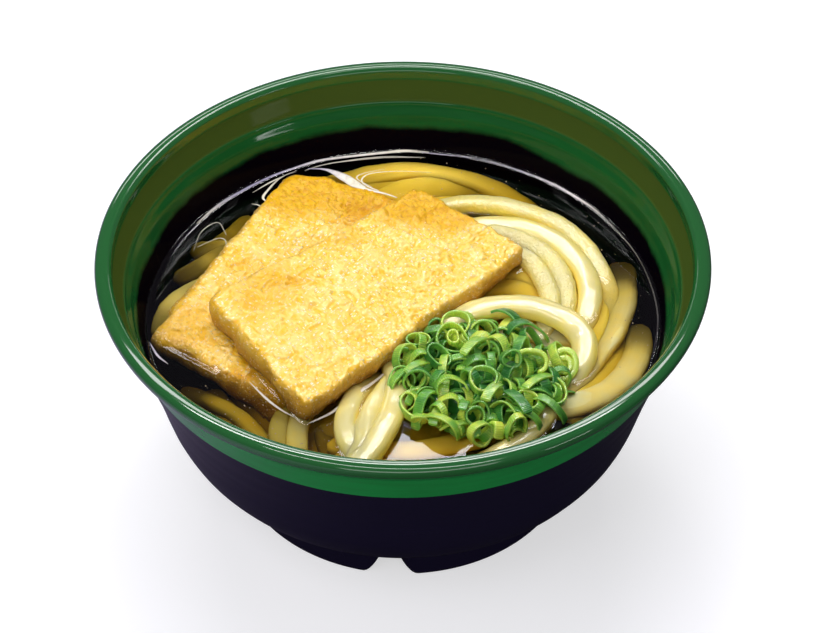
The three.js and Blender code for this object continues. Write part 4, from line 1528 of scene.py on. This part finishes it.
@dataclass
class OilStreaksAndReflections:
    """Streaks on the broth, partly oil and partly painted reflections of the meniscus: along the wall, and
    curled round the slices of tofu.
    """

    broth: Broth
    thickness: float = 0.04
    lift: float = 0.06
    sides: int = 10
    # The streaks along the wall and round the slices lie on the meniscus, as painted reflections of the
    # lamps.
    streaks: tuple = (
        Streak(
            along_wall(78.3, (147, 0.3), (141, 0.8), (135, 0.9), (126, 0.7), (118, 0.6), (108, 0.8))
            + along_wall(78.3, (92, 0.9), (84, 0.6)),
            (0.4, 0.6, 0.45, 0.45, 0.9, 1.0, 1.0, 0.5),
            (1.0, 0.7, 0.1, 0.1, 0.6, 1.0, 1.0),
        ),
        Streak(
            along_wall(78.3, (86, 0.5), (72, 0.4), (58, 0.5), (46, 0.7), (34, 0.4), (18, 0.3))
            + along_wall(78.3, (0, 0.5), (-18, 0.3)),
            (0.5, 0.35, 0.5, 1.0, 0.25, 0.06, 0.05, 0.0),
            (0.3, 0.4, 0.8, 1.0, 0.3),
        ),
        Streak(
            ((-32, 69, 0.3), (-27, 71.5, 0.5), (-20, 73.5, 0.6), (-7, 75.7, 1.1), (7, 75.6, 0.4)),
            (0.3, 0.8, 0.3),
        ),
        Streak(
            ((-31, 70, 0.3), (-25, 69.4, 1.2), (-19.5, 65.8, 3.6), (-16, 62.4, 4.0), (-12.5, 59.8, 2.0)),
            (0.5, 0.9, 1.0, 1.0, 0.9),
            (0.0, 0.6, 1.0, 1.0),
        ),
        Streak(((-13.5, 60.6, 0.8), (-10, 59.0, 1.1), (-6, 57.6, 0.8), (-2, 55.6, 0.4)), (0.8, 0.9, 0.8)),
        Streak(
            ((-8, 59, 0.4), (-12, 61.5, 0.6), (-13.5, 64.5, 0.6), (-10.5, 67.6, 0.5), (-1, 68.7, 0.4))
            + ((9, 68, 0.3),),
            (0.9, 0.8, 0.5, 0.2),
        ),
        Streak(((-10, 60.5, 0.3), (-15, 65, 0.5), (-13, 67.6, 0.4), (-6, 69.8, 0.3)), (0.7, 0.6, 0.2)),
        Streak(
            ((-35, 68, 0.3), (-40, 65, 0.6), (-44, 58.5, 0.9), (-45, 55.5, 0.9), (-44, 53.2, 0.3)),
            (0.3, 0.8, 0.9),
        ),
        Streak(
            ((-48.5, 52.5, 0.2), (-46.4, 51.8, 0.5), (-44.8, 49, 0.5), (-44.6, 47.5, 0.3)),
            (0.5, 0.8, 0.5),
        ),
        Streak(((-48.5, 58, 0.3), (-42.5, 63.5, 0.7), (-34.5, 69, 0.3)), (0.3, 0.7, 0.3)),
        Streak(((-43.5, 48.5, 0.6), (-46, 43.5, 1.0), (-50, 37.5, 0.4)), (0.3, 0.5, 0.2)),
        Streak(((-66, 30, 0.3), (-64, 39, 0.4), (-59, 43.5, 0.4), (-56, 37.5, 0.3)), (0.1, 0.4, 0.2)),
        Streak(((-65, 31.7, 0.3), (-58, 36, 0.4), (-56, 32, 0.4), (-61, 21, 0.3)), (0.2, 0.4, 0.1)),
        Streak(
            ((-46, -29.5, 0.3), (-40.5, -36.8, 0.9), (-36, -41.4, 0.7), (-32, -44.4, 0.3)),
            (0.5, 0.9, 0.6),
        ),
        Streak(
            ((-28, -47.2, 0.3), (-20, -41.4, 1.2), (-12.5, -33.4, 1.4), (-3.5, -23.6, 0.5)),
            (0.5, 0.9, 0.6),
        ),
        Streak(((-77, -12.5, 0.4), (-74.4, -17.8, 0.8), (-71, -21.5, 0.3)), (0.4, 0.8, 0.3), (0.3, 0.5)),
    )

    def grid(self, streak: Streak) -> tuple[Array, Marks]:
        """A flat lens of a section carried along a streak, floating just over the broth.

        The section is (width / 2 cos a, thickness sin a), and its veil is strength |sin a|^0.7.

        Args:
            streak: the streak.

        Returns:
            A grid of points, a row for each section, and its marks.
        """
        path = spline(streak.stations, 8)
        place = np.stack([path[:, 0], path[:, 1], 0 * path[:, 0]], -1)
        ahead = np.gradient(place, axis=0)
        across = np.cross(unit(ahead), UPWARD)
        angle = full_turn(self.sides)[::-1]
        rings = place[:, None] + across[:, None] * (np.cos(angle) * path[:, 2:] / 2)[..., None]
        share = np.linspace(0.0, 1.0, len(path))
        level = self.broth.surface(rings[..., 0], rings[..., 1])
        rings[..., 2] = level + self.lift + self.thickness * np.sin(angle)
        veil = spread(streak.strength, share) * np.abs(np.sin(angle)) ** 0.7
        return rings, {"veil": veil, "warm": spread(streak.warmth, share)}

    def build(self) -> None:
        """Makes all the streaks as one piece."""
        skin = Skin()
        for streak in self.streaks:
            skin.add_tube(*self.grid(streak))
        skin.make("oil_and_reflection_streaks", OilAndPaintedReflection().build(), "broth")


@dataclass
class Bubbles:
    """Tiny bubbles and specks of oil that float on the broth, thickest along the front of the tofu."""

    broth: Broth
    count: int = 240
    sizes: tuple = (0.08, 0.24)
    flatness: float = 0.6
    furthest: float = 76.0
    veil: float = 0.45
    warmth: float = 0.8
    spots: tuple = ((-52, -28, 10), (-44, -40, 8), (-30, -50, 6), (20, 66, 12), (58, 40, 14), (70, -5, 8))
    seed: int = 4242

    def build(self) -> None:
        """Makes each as a low dome: radius cos b wide at b, and flatness x radius x sin b high."""
        draw = np.random.default_rng(self.seed)
        spots = np.array(self.spots, float)[draw.integers(0, len(self.spots), self.count)]
        middle = spots[:, :2] + draw.normal(0.0, 1.0, (self.count, 2)) * spots[:, 2:]
        middle = middle[np.hypot(middle[:, 0], middle[:, 1]) < self.furthest]
        radius = self.sizes[0] + (self.sizes[1] - self.sizes[0]) * draw.uniform(size=len(middle)) ** 3
        rise = np.array([-0.5, 0.0, 0.5, 1.1])
        dome = spun(np.stack([np.cos(rise), self.flatness * np.sin(rise)], -1), 8)
        level = self.broth.surface(middle[:, 0], middle[:, 1])
        skin = Skin()
        for (x, y), z, size in zip(middle, level, radius):
            skin.add_tube(dome * size + np.array([x, y, z]), {"veil": self.veil, "warm": self.warmth})
        skin.make("broth_bubbles", OilAndPaintedReflection(warm=(0.80, 0.62, 0.30)).build(), "broth")


# Studio.


@dataclass(frozen=True)
class Softbox:
    """A rectangular lamp: its middle, its two sides, the light it gives off, and the point it faces.

    It's `mirrored` in glossy surfaces, it's `lighting` matt ones, or both.
    """

    name: str
    place: tuple
    size: tuple
    radiance: float
    tint: tuple = WHITE
    aim: tuple = (0.0, -0.054, 0.059)
    mirrored: bool = True
    lighting: bool = True

    def build(self) -> None:
        """Adds the lamp. Its power is pi x area x radiance."""
        lamp = bpy.data.lights.new(self.name, "AREA")
        lamp.shape = "RECTANGLE"
        lamp.size, lamp.size_y = self.size
        lamp.energy = math.pi * self.size[0] * self.size[1] * self.radiance
        lamp.color = self.tint
        holder = in_scene(self.name, lamp)
        holder.visible_glossy = self.mirrored
        holder.visible_diffuse = self.lighting
        holder.location = self.place
        x, y, z = np.subtract(self.place, self.aim)
        holder.rotation_euler = (math.atan2(math.hypot(x, y), z), 0.0, math.atan2(x, -y))


@dataclass
class Studio:
    """A pale floor, soft lamps and the camera."""

    floor_side: float = 6.0
    floor_shade: tuple = (0.60, 0.60, 0.60)
    floor_drop: float = 2e-5
    floor_glow: float = 0.52
    bounce_bright: tuple = (0.50, 0.42, 0.62)
    bounce_dark: tuple = (0.05, 0.045, 0.06)
    bounce_edge: tuple = (-0.15, 0.0)
    ambient: tuple = (0.19, 0.185, 0.225)
    pitch: float = 42.91
    camera_place: tuple = (0.0032, -0.7029, 0.7121)
    lens: float = 135.8
    sensor: float = 36.0
    lamps: tuple = (
        Softbox("key", (-0.03, 0.415, 0.632), (0.80, 0.142), 1.0, mirrored=False),
        Softbox("high_strip", (-0.03, 0.372, 0.664), (0.70, 0.11), 11.2),
        Softbox("low_strip", (0.04, 0.451, 0.600), (0.14, 0.058), 20.0),
        Softbox("overhead", (-0.03, 0.140, 0.783), (0.60, 0.34), 2.1, BLUISH, mirrored=False),
        Softbox("middle_gleam", (-0.03, 0.250, 0.760), (0.70, 0.05), 26.0, lighting=False),
        Softbox("top_gleam", (-0.03, -0.150, 0.800), (0.60, 0.07), 14.0, lighting=False),
        Softbox("back_gleam", (-0.03, 0.850, 0.450), (0.90, 0.05), 9.0, lighting=False),
        Softbox("front_left", (-0.50, -0.42, 0.74), (0.7, 0.7), 2.2, (0.93, 0.9, 1.0), (0, 0, 0.06), False),
        Softbox("front_fill", (0.1, -1.05, 0.62), (1.0, 0.42), 3.3, aim=(0, 0, 0.04)),
        Softbox("right_kicker", (0.70, -0.55, 0.15), (0.24, 0.05), 16.0, aim=(0, 0.05, 0.07)),
    )

    def floor(self) -> None:
        """Lays the floor just under the bowl's foot.

        Only the camera sees it pale. To other rays it is dark, and lilac grey on the left.
        """
        half = self.floor_side / 2
        mesh = bpy.data.meshes.new("floor")
        corners = [(x * half, y * half, -self.floor_drop) for x, y in ((-1, -1), (1, -1), (1, 1), (-1, 1))]
        mesh.from_pydata(corners, [], [range(4)])
        r = Recipe("pale_floor")
        seen = r.add("LightPath").outputs["Is Camera Ray"]
        card = r.mix(r.ramp(r.along("X"), *self.bounce_edge), self.bounce_bright, self.bounce_dark)
        shade = r.mix(seen, card, self.floor_shade)
        glow = r.times(seen, self.floor_glow)
        pale = r.shaded(Base_Color=shade, Roughness=0.7, Emission_Color=WHITE, Emission_Strength=glow)
        mesh.materials.append(pale)
        in_scene("floor", mesh)

    def build(self) -> None:
        """Sets the floor, the ambient light, the lamps and the camera."""
        self.floor()
        world = bpy.data.worlds.new("studio")
        world.use_nodes = True
        world.node_tree.nodes["Background"].inputs["Color"].default_value = (*self.ambient, 1.0)
        bpy.context.scene.world = world
        for lamp in self.lamps:
            lamp.build()
        lens = bpy.data.cameras.new("camera")
        lens.lens = self.lens
        lens.sensor_width = self.sensor
        camera = in_scene("camera", lens)
        camera.location = self.camera_place
        camera.rotation_euler = (math.radians(90 - self.pitch), 0.0, 0.0)
        bpy.context.scene.camera = camera
        bpy.context.scene.view_settings.view_transform = "Standard"


def main() -> None:
    """Builds the bowl, then what lies in it, then the studio."""
    logging.basicConfig(level=logging.INFO, format="%(name)s: %(message)s")
    bowl, noodles, slices = Bowl(), Noodles(), fried_tofu()
    bowl.build()
    noodles.build()
    skin = TofuSkin().build()
    for tofu in slices:
        tofu.build(skin)
    SpringOnion().build()
    broth = Broth(bowl, noodles, slices)
    broth.build()
    OilStreaksAndReflections(broth).build()
    Bubbles(broth).build()
    Studio().build()


if __name__ == "__main__":
    main()
